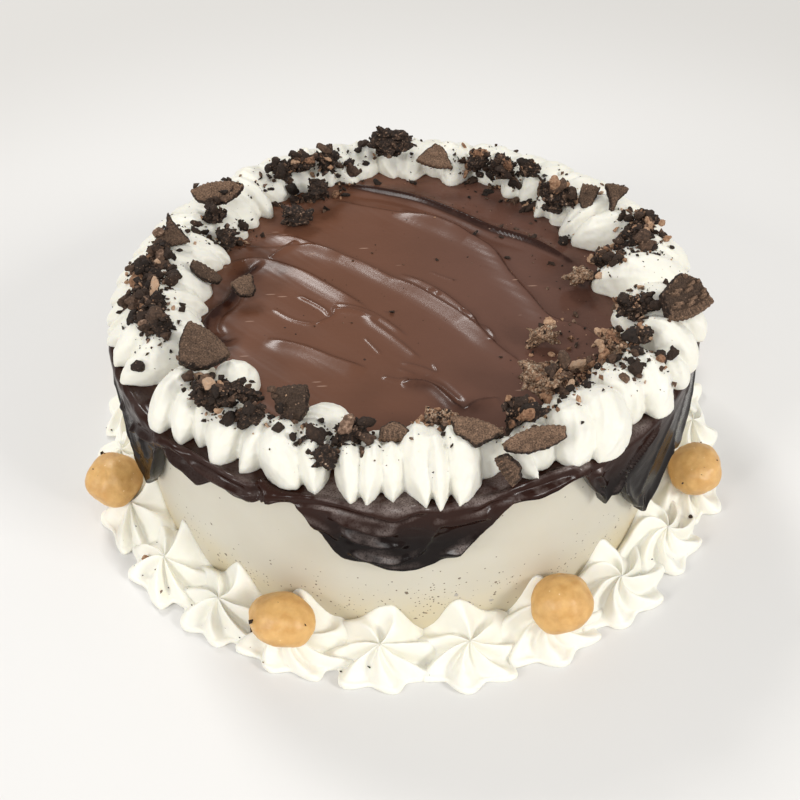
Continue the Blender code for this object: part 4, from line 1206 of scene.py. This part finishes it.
# each wafer: name, azimuth, distance and height of its middle, share of the rim in degrees, depth,
# taper, thickness, azimuth and elevation that its face looks to, turn of the rim within the face
WAFERS = (
    ("lens", 239, 80.1, 87, 56, 9.6, 0.74, 4.2, 4, 48, 3),
    ("wedge", 256.7, 86.6, 85.6, 36, 12.5, 0.16, 4, 12, 36, 176),
    ("flat_oval", 305.3, 81.6, 83.6, 48, 15, 0.72, 4.2, 22, 60, -58),
    ("dark_plate", 334, 81, 82.8, 30, 11.4, 0.85, 4.8, 352, 44, 12),
    ("ribbed_edge", 357.1, 84.2, 79.4, 28, 6.2, 0.8, 5.2, 0, 62, 180),
    ("flat_chip", 12.2, 90.6, 83, 44, 8.6, 0.6, 3.8, 352, 58, -12),
    ("oblong", 21.6, 99.2, 82.7, 52, 7.8, 0.9, 3.8, 8, 50, 8),
    ("hanging_edge", 16.6, 102.2, 77, 26, 6.4, 0.8, 4.8, 345, 36, 132),
    ("big_rim", 71.4, 97.6, 86, 46, 15, 0.8, 5, 18, 52, -172),
    ("upright_wedge", 111.2, 85.8, 85.4, 24, 10.8, 0.22, 4, 4, 36, -16),
    ("upright_blade", 116.4, 79.2, 83, 18, 11, 0.8, 3.8, 344, 34, -8),
    ("back_chip", 168.1, 74, 81.8, 40, 10.2, 0.5, 3.8, 2, 44, 165),
    ("fudge_chip", 272.7, 56.3, 74.6, 22, 9.6, 0.7, 3.2, 8, 56, 20),
    ("inner_dark", 267.8, 70.8, 77.8, 34, 5.8, 0.9, 4.6, 20, 46, -48),
)
# how much darker some faces are
DARK_FACES = {
    "dark_plate": 0.75,
    "flat_oval": 0.35,
    "wedge": 0.45,
    "inner_dark": 0.6,
    "hanging_edge": 0.3,
    "upright_wedge": 0.4,
    "upright_blade": 0.45,
    "fudge_chip": 0.3,
}
# each lump: name, azimuth, distance and height of its middle, half sizes to the right, to the back and up
LUMPS = (
    ("dark_heap", 320.4, 88.6, 82.8, 11.4, 4.8, 4.6),
    ("front_lump", 348.4, 84.4, 79.6, 6.2, 4.4, 4.2),
    ("tan_heap", 7.2, 77.8, 77.4, 7, 4.4, 3.9),
    ("right_heap", 24.4, 85.2, 79.6, 6.8, 4.6, 4.4),
    ("large_tan", 36.2, 74.2, 77.8, 9.6, 7, 7),
    ("fudge_tan", 54.2, 57, 73.1, 5.8, 4, 3.3),
    ("rim_dark", 70.6, 83.6, 80.2, 7.8, 4.4, 4.4),
    ("side_tan", 89.2, 63.4, 73.2, 4.6, 4.2, 3.4),
    ("back_chunk", 124.2, 73, 80, 7, 5.6, 6.2),
    ("crown", 182.6, 78.4, 84.8, 9.4, 5.4, 6.8),
    ("left_dark", 221.9, 60.8, 73.3, 6.6, 4, 3.4),
)
# crumb heaps on the border: splinters in each, size of a splinter, flattening
BORDER_PARTS = 26
BORDER_SHARD = 2.2
BORDER_FLATTENING = 0.82
# azimuth, distance, height of the middle, size
BORDER_CRUMBS = (
    (55.2, 80.9, 80.4, 5.2),
    (59.4, 88.4, 82, 3.6),
    (93.6, 73, 77, 4),
    (96, 86, 82, 4.4),
    (101, 91.5, 82.6, 5),
    (139, 78, 82.2, 3.8),
    (147, 75, 80.8, 4.8),
    (155, 76, 80.4, 4.4),
    (202, 77, 81.6, 4.6),
    (209, 79, 82.2, 4.8),
    (208, 67.5, 75.6, 4.2),
    (216, 79, 82.2, 4),
    (244.4, 77.6, 82, 4.2),
    (248.6, 70, 77.6, 4.2),
    (263.5, 88, 82, 4.6),
    (270.5, 91, 81.4, 4.4),
    (277.5, 90, 82, 4.6),
    (284.5, 88.5, 82, 4),
    (292, 87, 82, 3.8),
    (328.6, 90.4, 82.2, 3.4),
    (344.4, 95.4, 78.8, 4),
)


def face_frame(place, azimuth, elevation, spin):
    """Local frame: Z looks to an azimuth and elevation, X is turned from upright by a spin."""
    tilt = math.radians(elevation)
    look = Vector(around(azimuth, math.cos(tilt), math.sin(tilt))).normalized()
    upright = (Vector((0.0, 0.0, 1.0)) - look * look.z).normalized()
    right = upright.cross(look)
    turn = math.radians(spin)
    x_axis = upright * math.cos(turn) - right * math.sin(turn)
    basis = Matrix((x_axis, look.cross(x_axis), look)).transposed().to_4x4()
    return Matrix.Translation(place) @ basis


def wafer_outline(share, depth, taper, rng):
    """Outline of a broken piece: a ribbed arc of the cookie's rim and a jagged break."""
    rim = []
    for turn in np.radians(np.linspace(-share / 2, share / 2, int(share * 1.3))):
        rib = 0.5 - 0.5 * math.cos(2.0 * math.pi * math.degrees(turn) / RIB_PITCH)
        radius = COOKIE_RADIUS - RIB_DEPTH * rib
        rim.append((radius * math.cos(turn), radius * math.sin(turn)))
    half = COOKIE_RADIUS * math.sin(math.radians(share / 2))
    corners = [rim[-1]]
    for k in range(BREAK_POINTS):
        side = 1.0 - 2.0 * k / (BREAK_POINTS - 1)
        inset = depth * draw(rng, 0.86, 1.06) * (1.0 - 0.3 * side * side)
        jag = draw(rng, -0.5, 0.5)
        corners.append((COOKIE_RADIUS - inset, (half * side + jag) * taper))
    corners.append(rim[0])
    corners = np.array(corners)
    torn = []
    for start, end in zip(corners[:-1], corners[1:]):
        for t in (0.0, 0.2, 0.4, 0.6, 0.8):
            if t == 0.0 and not torn:
                continue
            point = start + (end - start) * t
            torn.append(point + rng.uniform(-BREAK_JITTER, BREAK_JITTER, 2))
    outline = np.array(rim + torn)
    outline[:, 0] -= COOKIE_RADIUS - depth / 2
    return outline


def crumble(item, size, depth, seed, share=None, lines=0.0):
    """Raises crumbs on a skin where share is 1, and stores their tones and the painted shade of the creases
    between them and of the given lines.
    """
    points, normals = mesh_arrays(item)
    share = np.ones(len(points)) if share is None else share
    rng = np.random.default_rng(seed)
    span = np.ptp(points, axis=0)
    skin_area = 2.0 * (span[0] * span[1] + span[1] * span[2] + span[0] * span[2])
    wanted = min(len(points), max(12, int(skin_area / size**2)))
    centres = points[rng.choice(len(points), wanted, replace=False)]
    tones = rng.uniform(0.0, 1.0, wanted) ** 1.25
    lifts = rng.uniform(0.4, 1.0, wanted)
    tree = KDTree(wanted)
    for k, centre in enumerate(centres):
        tree.insert(centre, k)
    tree.balance()
    tone = np.empty(len(points))
    crease_shade = np.empty(len(points))
    rise = np.empty(len(points))
    for k, point in enumerate(points):
        (_, first, near), (_, _, far) = tree.find_n(point, 2)
        tone[k] = tones[first]
        crease_shade[k] = max(0.0, 1.0 - (far - near) / (0.4 * size))
        rise[k] = lifts[first] * (1.0 - (near / (0.8 * size)) ** 2)
    rise = np.clip(rise, -0.6, 1.0)
    rough = fold_noise(points, size * 0.45) * 0.35
    moved = points + normals * ((rise + rough) * depth * share)[:, None]
    set_points(item, moved)
    speckle = fold_noise(points + 3.0, 0.55) * 0.22
    add_value(item, "tone", tone + speckle)
    add_value(item, "crease_shade", np.maximum(crease_shade * share, lines))
    add_value(item, "broken", share)
    return item


def build_wafer(row, seed):
    """A broken wafer with a plain relief on its face, a ribbed rim and a crumbly break, with painted shade
    in the hollows of the relief and rim.
    """
    name, azimuth, radius, height, share, depth, taper, thickness, look, elevation, spin = row
    rng = np.random.default_rng(seed)
    outline = wafer_outline(share, depth, taper, rng)
    place = face_frame(Vector(around(azimuth, radius, height)), look, elevation, spin)
    rings = []
    for level, inset in WAFER_EDGE:
        length = np.hypot(outline[:, 0], outline[:, 1])
        scale = (length - inset) / np.maximum(length, 0.01)
        ring = np.column_stack([outline * scale[:, None], np.full(len(outline), level * thickness)])
        rings.append([place @ Vector(point) for point in ring])
    wafer = remeshed(loft(f"broken_{name}", rings), WAFER_SKIN_STEP)
    points, normals = mesh_arrays(wafer)
    back = np.array(place.inverted())
    local = points @ back[:3, :3].T + back[:3, 3]
    facing = normals @ np.array(place)[:3, 2]
    from_centre = np.hypot(local[:, 0] + COOKIE_RADIUS - depth / 2, local[:, 1])
    on_face = between_steps(np.abs(facing), 0.55, 0.85)
    on_rim = between_steps(from_centre, COOKIE_RADIUS - 2.0, COOKIE_RADIUS - 1.0)
    torn = (1.0 - on_face) * (1.0 - on_rim)
    turn = np.arctan2(local[:, 1], local[:, 0] + COOKIE_RADIUS - depth / 2)
    bold = name == "big_rim"
    pitch = 4.4 if bold else 3.4
    rows = 0.5 + 0.5 * np.cos(from_centre * 2.0 * math.pi / pitch + 0.5 * fold_noise(points, 5.0))
    dash_turn = turn * from_centre * 5.1 / pitch + np.floor(from_centre / pitch) * 1.9
    dashes = between_steps(np.sin(dash_turn), -0.4, 0.2)
    inside = 1.0 - between_steps(from_centre, COOKIE_RADIUS - 3.6, COOKIE_RADIUS - 3.0)
    raised = between_steps(rows, 0.3, 0.65) * dashes
    ribs = 0.5 + 0.5 * np.cos(np.degrees(turn) * 2.0 * math.pi / RIB_PITCH)
    ribbed = 1.0 if bold or name in ("hanging_edge", "ribbed_edge") else 0.12
    rise, shade = (1.4, 0.85) if bold else (0.3, 0.2)
    relief = rise * (raised - 0.5) * inside + 0.45 * ribbed * (ribs - 0.5) * (1.0 - inside)
    # painted shade: the hollows between the raised pattern and between the ribs are darkened
    lines = shade * (1.0 - raised) * inside + 0.7 * ribbed * (1.0 - ribs) * (1.0 - inside)
    grain = fold_noise(points, 0.8) * 0.16 + fold_noise(points, 2.6) * 0.2
    pits = fold_noise(points + 5.0, 1.1)
    grain -= 0.22 * between_steps(pits, 0.35, 0.6)
    set_points(wafer, points + normals * (on_face * relief + grain)[:, None])
    add_value(wafer, "dark", np.full(len(points), DARK_FACES.get(name, 0.0)))
    return crumble(wafer, *WAFER_CRUMBS, seed, torn, on_face * lines)


def add_shard(bm, centre, sizes, turn, rng, corners):
    """One angular splinter of biscuit: the hull of a few points, given half sizes and turned."""
    verts = []
    for _ in range(corners):
        way = rng.normal(size=3)
        way /= np.max(np.abs(way)) ** 0.6 * np.linalg.norm(way) ** 0.4
        verts.append(bm.verts.new((Vector(centre) + turn @ Vector(way * sizes)) * MM))
    made = bmesh.ops.convex_hull(bm, input=verts)
    inner = made["geom_interior"] + made["geom_unused"]
    spare = {item for item in inner if isinstance(item, bmesh.types.BMVert)}
    bmesh.ops.delete(bm, geom=list(spare), context="VERTS")


def any_turn(rng, flat, spread=3.14):
    """A random turn about the upright, with some tilt."""
    way = Matrix.Rotation(draw(rng, -spread, spread), 3, "Z")
    tip = Matrix.Rotation(float(rng.normal(0.0, flat)), 3, "X")
    roll = Matrix.Rotation(float(rng.normal(0.0, flat)), 3, "Y")
    return way @ tip @ roll


def object_from(bm, name):
    """An object from an edited mesh, which is then freed."""
    mesh = bpy.data.meshes.new(name)
    bm.to_mesh(mesh)
    bm.free()
    return set_down(name, mesh)


def join_all(items, name):
    """One object with the faces of all."""
    bm = bmesh.new()
    for item in items:
        bm.from_mesh(item.data)
    made = object_from(bm, name)
    for item in items:
        bpy.data.objects.remove(item, do_unlink=True)
    return made


def build_heap(name, centre, half, seed, parts, shard):
    """A clump of broken biscuit: splinters piled on a core, under one crumbly skin."""
    rng = np.random.default_rng(seed)
    half = np.array(half)
    bm = bmesh.new()
    add_shard(bm, centre, half * HEAP_CORE, any_turn(rng, 0.1), rng, CORE_CORNERS)
    for _ in range(parts):
        way = rng.normal(size=3)
        way /= np.linalg.norm(way)
        long = shard * draw(rng, 0.7, 2.2)
        room = half - long * np.array((0.6, 0.4, 0.15))
        offset = way * np.maximum(room, 0.35 * half) * draw(rng, 0.5, 1.05)
        sizes = long * np.array((1.0, draw(rng, 0.26, 0.55), draw(rng, 0.15, 0.32)))
        add_shard(bm, np.array(centre) + offset, sizes, any_turn(rng, 0.3, 0.9), rng, SHARD_CORNERS)
    return crumble(remeshed(object_from(bm, name), HEAP_SKIN_STEP), *HEAP_CRUMBS, seed)


def cookie_finish(name, filling):
    """Dark biscuit: a dry face, and crumbs of uneven tone with bits of filling where it is broken, painted
    shade in creases and grooves, and painted glints.
    """
    material, tree, shader = new_material(name, Roughness=0.8, Specular_IOR_Level=0.3)
    tone = stored(tree, "tone")
    crease_shade = stored(tree, "crease_shade")
    broken = stored(tree, "broken")
    patches = mottled(tree, 1.1, 2.2)
    lifted = sums(tree, "MULTIPLY_ADD", patches, 0.34, sums(tree, "MULTIPLY_ADD", tone, 0.80, -0.09))
    ramp = node(tree, "ShaderNodeValToRGB", {"Fac": lifted})
    elements = ramp.color_ramp.elements
    while len(elements) < len(CRUMB_TONES):
        elements.new(0.5)
    for element, (place, shift, plain, filled) in zip(elements, CRUMB_TONES):
        element.position = place - shift * filling
        element.color = (*(low + (high - low) * filling for low, high in zip(plain, filled)), 1.0)
    grain = mottled(tree, 0.42, 3.2, -0.03)
    stains = mottled(tree, 4.5, 2.4)
    dull = blend(tree, stains, *COOKIE_DULL)
    bright = blend(tree, stains, *COOKIE_BRIGHT)
    dark = stored(tree, "dark")
    face = blend(tree, dark, blend(tree, grain, dull, bright), COOKIE_DARKER_FACE)
    whole = blend(tree, broken, face, ramp.outputs["Color"])
    # painted shade in the creases between crumbs and in the grooves of the faces
    colour = blend(tree, times(tree, crease_shade, 0.8), whole, COOKIE_CREASE_SHADE)
    glint = specked(tree, 0.9, 0.26, 0.22)
    speckled = blend(tree, times(tree, glint, 0.55), colour, COOKIE_GLINT)
    paint(tree, shader, speckled)
    grained(tree, shader, (0.9, 0.3, 0.7), 0.9, 0.4)
    return material


dark_cookie = cookie_finish("dark broken cookie", 0.0)
filled_cookie = cookie_finish("filled broken cookie", 1.0)
cookies = []
for rows, seed in ((WAFERS, 500), (LUMPS, 700)):
    for number, row in enumerate(rows):
        name = row[0]
        filled = "tan" in name
        if rows is WAFERS:
            cookie = build_wafer(row, seed + number)
        else:
            # a lump held together by filling has fewer and larger parts
            bulk = row[4] * row[5] * row[6]
            parts, shard = (int(7 + 0.04 * bulk), 3.1) if filled else (int(14 + 0.12 * bulk), 2.6)
            middle = around(row[1], row[2], row[3])
            cookie = build_heap(f"broken_{name}", middle, row[4:], seed + number, parts, shard)
        cookie.data.materials.clear()
        cookie.data.materials.append(filled_cookie if filled else dark_cookie)
        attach(cookie, "root")
        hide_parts(f"cookie_{name}")
        cookies.append(cookie)

heaps = []
for number, (azimuth, radius, height, size) in enumerate(BORDER_CRUMBS):
    half = (size, size, size * BORDER_FLATTENING)
    middle = around(azimuth, radius, height)
    heaps.append(build_heap("heap", middle, half, 300 + number, BORDER_PARTS, BORDER_SHARD))
border_heaps = []
for name, members, finish in (("filled", heaps[:1], filled_cookie), ("dark", heaps[1:], dark_cookie)):
    made = join_all(members, f"border_crumb_heaps_{name}")
    made.data.materials.clear()
    made.data.materials.append(finish)
    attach(made, "root")
    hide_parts("top_cream_border")
    border_heaps.append(made)


# Scattered crumbs
# What fell from the broken cookies: crumbs from pea size down to dust, on the cream, on the fudge
# and a few round the foot. They lie where they dropped and cling to the cream.
# each shower: azimuth, distance, spread in degrees and in distance, counts of large crumbs, small
# ones and dust, share with filling
SHOWERS = (
    (254, 90, 5, 5, 2, 26, 50, 0.05),
    (267.5, 90, 4, 6, 18, 90, 150, 0.06),
    (272, 90, 7, 6, 28, 140, 160, 0.06),
    (281, 90, 7, 6, 24, 120, 130, 0.06),
    (289, 88, 6, 4, 12, 80, 110, 0.06),
    (247, 76, 5, 5, 10, 45, 70, 0.1),
    (239, 72, 5, 5, 6, 30, 40, 0.1),
    (214, 80, 6, 5, 18, 90, 100, 0.15),
    (207, 74, 7, 6, 18, 80, 90, 0.15),
    (200, 80, 5, 6, 12, 60, 80, 0.15),
    (155, 78, 6, 5, 18, 80, 90, 0.2),
    (145, 77, 7, 5, 24, 100, 120, 0.25),
    (135, 78, 5, 5, 10, 50, 80, 0.2),
    (125, 74, 6, 6, 10, 50, 60, 0.3),
    (103, 89, 5, 6, 14, 70, 90, 0.2),
    (96, 86, 6, 7, 22, 110, 150, 0.2),
    (92, 74, 5, 5, 14, 60, 70, 0.3),
    (72, 84, 6, 6, 8, 50, 60, 0.3),
    (60, 82, 8, 7, 16, 100, 140, 0.5),
    (50, 78, 7, 6, 14, 90, 120, 0.6),
    (38, 80, 6, 5, 8, 60, 90, 0.5),
    (51, 93, 5, 8, 10, 46, 50, 0.1),
    (22, 84, 7, 5, 14, 60, 60, 0.3),
    (8, 80, 6, 5, 6, 36, 40, 0.5),
    (313.5, 87, 4, 4, 14, 50, 80, 0.06),
    (321, 92, 5, 4, 14, 50, 60, 0.12),
    (328, 88, 6, 5, 6, 30, 50, 0.1),
    (345, 88, 7, 6, 8, 40, 60, 0.1),
    (180, 80, 25, 8, 6, 40, 90, 0.1),
    (0, 88, 180, 12, 22, 140, 380, 0.1),
    (120, 60, 40, 10, 2, 14, 60, 0.2),
    (0, 30, 180, 22, 1, 8, 60, 0.1),
    (60, 62, 16, 8, 3, 24, 40, 0.6),
    (330, 119, 30, 6, 1, 8, 20, 0.2),
    (60, 119, 40, 6, 1, 8, 14, 0.2),
    (290, 121, 30, 6, 1, 8, 16, 0.2),
    (180, 120, 60, 6, 3, 14, 20, 0.2),
)
# each kind of crumb: name, its column in the showers, least and greatest half length, corners, how
# far its middle stands out, seed, step of its skin (nought for a plain hull), crowding
CRUMB_KINDS = (
    ("large_crumbs", 4, 1.2, 4.2, 10, 0.2, 11, 0.8, 1.7),
    ("small_crumbs", 5, 0.45, 1.7, 9, 0.3, 12, 0, 1.25),
    ("crumb_dust", 6, 0.16, 0.45, 6, 0.2, 13, 0, 1),
)
# no crumb reaches much higher than the highest cookie, and no large one stays on the open stars
CRUMB_CEILING = 92.6
LARGE_CRUMB_LEAST = 1.0
BARE_HEIGHTS = (14.0, 40.0)
DROP_HEIGHT = 120.0
CRUMB_SHAPES = 12
# a crumb with a broken skin is made this much larger first, with crumbs of this size and height
CHIP_GROWTH = 4.0
CHIP_CRUMBS = (1.3, 0.5)
STEEPEST = 0.25


def surface_tree(items):
    """Search tree over the faces of many objects, in millimetres."""
    points = []
    faces = []
    for item in items:
        places, _ = mesh_arrays(item)
        faces += [[corner + len(points) for corner in polygon.vertices] for polygon in item.data.polygons]
        points += places.tolist()
    return BVHTree.FromPolygons(points, faces)


landing = surface_tree([fudge, border, body, *stars, *balls, *cookies, *border_heaps])


def chip_shapes(corners, rng, step):
    """Points and faces of crumbs of unit size: hulls of a few points, crumbled where a step is given."""
    shapes = []
    for number in range(CRUMB_SHAPES):
        bm = bmesh.new()
        sizes = np.array((1.0, draw(rng, 0.55, 0.9), draw(rng, 0.4, 0.7)))
        grow = CHIP_GROWTH if step else 1.0
        add_shard(bm, (0.0, 0.0, 0.0), sizes * grow, any_turn(rng, 0.2), rng, corners)
        chip = object_from(bm, "chip")
        if step:
            crumble(remeshed(chip, step), *CHIP_CRUMBS, number)
        points, _ = mesh_arrays(chip)
        faces = [list(polygon.vertices) for polygon in chip.data.polygons]
        shapes.append((points / grow, faces))
        bpy.data.objects.remove(chip, do_unlink=True)
    return shapes


def scatter(name, column, low, high, corners, proud, seed, step, crowd):
    """Drops crumbs of one kind on what lies below, as one object for each of the two mixes."""
    rng = np.random.default_rng(seed)
    shapes = chip_shapes(corners, rng, step)
    kinds = ([], [])
    for shower in SHOWERS:
        azimuth, radius, turn, spread = shower[:4]
        for _ in range(int(shower[column] * crowd)):
            if turn > 90.0:
                way = azimuth + draw(rng, -turn, turn)
            else:
                way = azimuth + float(rng.normal(0.0, turn * 0.6))
            out = radius + float(rng.normal(0.0, spread * 0.6))
            size = low + (high - low) * draw(rng, 0.0, 1.0) ** 2
            spot = around(way, out, DROP_HEIGHT)
            hit, normal, _, _ = landing.ray_cast(Vector(spot), Vector((0.0, 0.0, -1.0)))
            filled = int(draw(rng, 0.0, 1.0) < shower[7])
            pick = int(rng.integers(len(shapes)))
            axis = Vector(rng.normal(size=3)).normalized()
            spin = np.array(Matrix.Rotation(draw(rng, 0.0, 6.28), 3, axis))
            tone = draw(rng, 0.0, 0.95) ** 1.3 * (1.0, 0.7)[filled]
            if hit is None or normal.z < STEEPEST or hit.z + size > CRUMB_CEILING:
                continue
            if low > LARGE_CRUMB_LEAST and BARE_HEIGHTS[0] < hit.z < BARE_HEIGHTS[1]:
                continue
            points, faces = shapes[pick]
            centre = np.array(hit) + np.array(normal) * size * proud
            kinds[filled].append((points @ spin.T * size + centre, faces, tone))
    for kind, (crumbs, material) in enumerate(zip(kinds, (dark_cookie, filled_cookie))):
        if not crumbs:
            continue
        places = np.vstack([points for points, _, _ in crumbs])
        faces = []
        tones = []
        total = 0
        for points, shape_faces, tone in crumbs:
            faces += [[corner + total for corner in face] for face in shape_faces]
            tones += [tone] * len(points)
            total += len(points)
        piece = make_object(f"{name}_{('dark', 'filled')[kind]}", places, faces, smooth=False)
        add_value(piece, "tone", tones)
        add_value(piece, "crease_shade", np.zeros(total))
        add_value(piece, "broken", np.ones(total))
        piece.data.materials.append(material)
        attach(piece, "root")


for crumb_kind in CRUMB_KINDS:
    scatter(*crumb_kind)


# Table, light and camera
# A pale table, with painted light round the cake where the cake's shade falls, under four softboxes and a
# dim even sky. The cake is seen from the front and above, with the view turned a little about its own line.
FLOOR_HALF = 3000.0
VIEW_TILT = 42.637
VIEW_ROLL = 1.985
VIEW_PLACE = (-2.46, -320.0, 310.1)
VIEW_LENS = 49.5
VIEW_SENSOR = 36.0
VIEW_NEAREST = 0.01
TABLE_NEAR_PAINTED_LIGHT = (0.745, 0.737, 0.727)
TABLE_FAR = (0.61, 0.598, 0.58)
LAMP_COLOUR = (1.0, 0.99, 0.97)
SKY_COLOUR = (1.0, 0.995, 0.98, 1.0)
SKY_STRENGTH = 0.50
# each softbox: name, place and the point that it looks to, in metres, side of its square, watts
LAMPS = (
    ("back softbox", (-0.76, 1.42, 1.66), (0, 0, 0.06), 0.5, 18.5),
    ("left softbox", (-2.25, -1.85, 1.50), (0, 0, 0.04), 0.9, 35),
    ("right softbox", (2.45, -1.60, 1.65), (0, 0, 0.04), 0.9, 54),
    ("front softbox", (-0.15, -1.45, 1.75), (0, 0, 0.04), 0.8, 10.5),
)


def build_floor():
    """A wide flat table with painted light near the cake, where its shade falls, a little duller away from
    the cake.
    """
    corners = [(-1, -1), (1, -1), (1, 1), (-1, 1)]
    points = [(x * FLOOR_HALF, y * FLOOR_HALF, -0.05) for x, y in corners]
    floor = make_object("table", points, [[0, 1, 2, 3]], smooth=False)
    material, tree, shader = new_material("pale table", Roughness=0.65, Specular_IOR_Level=0.2)
    where = tree.nodes.new("ShaderNodeTexCoord")
    inputs = {0: where.outputs["Object"]}
    reach = node(tree, "ShaderNodeVectorMath", inputs, operation="LENGTH").outputs["Value"]
    # painted light: the table is lighter near the cake to lift the cake's shade on it
    far = between(tree, reach, 0.16, 0.46)
    colour = blend(tree, far, TABLE_NEAR_PAINTED_LIGHT, TABLE_FAR)
    paint(tree, shader, colour)
    floor.data.materials.append(material)


def soft_light(name, place, target, side, power):
    """A square softbox that looks at a point."""
    lamp = bpy.data.lights.new(name, "AREA")
    lamp.shape = "RECTANGLE"
    lamp.size = side
    lamp.size_y = side
    lamp.energy = power
    lamp.color = LAMP_COLOUR
    made = set_down(name, lamp)
    made.location = place
    made.rotation_euler = (Vector(target) - Vector(place)).to_track_quat("-Z", "Y").to_euler()


def build_camera():
    """The viewer's place in front of the cake and above it."""
    tilt = math.radians(VIEW_TILT)
    roll = math.radians(VIEW_ROLL)
    ahead = Vector((0.0, math.cos(tilt), -math.sin(tilt)))
    level_up = Vector((0.0, math.sin(tilt), math.cos(tilt)))
    level_right = Vector((1.0, 0.0, 0.0))
    up = math.cos(roll) * level_up + math.sin(roll) * level_right
    right = math.cos(roll) * level_right - math.sin(roll) * level_up
    lens = bpy.data.cameras.new("camera")
    lens.lens = VIEW_LENS
    lens.sensor_width = VIEW_SENSOR
    lens.clip_start = VIEW_NEAREST
    camera = set_down("camera", lens)
    facing = Matrix((right, up, -ahead)).transposed().to_4x4()
    camera.matrix_world = Matrix.Translation(Vector(VIEW_PLACE) * MM) @ facing
    bpy.context.scene.camera = camera


build_floor()
for lamp in LAMPS:
    soft_light(*lamp)
world = bpy.data.worlds.new("studio")
world.use_nodes = True
world.node_tree.nodes["Background"].inputs["Color"].default_value = SKY_COLOUR
world.node_tree.nodes["Background"].inputs["Strength"].default_value = SKY_STRENGTH
bpy.context.scene.world = world
bpy.context.scene.view_settings.view_transform = "Standard"
build_camera()
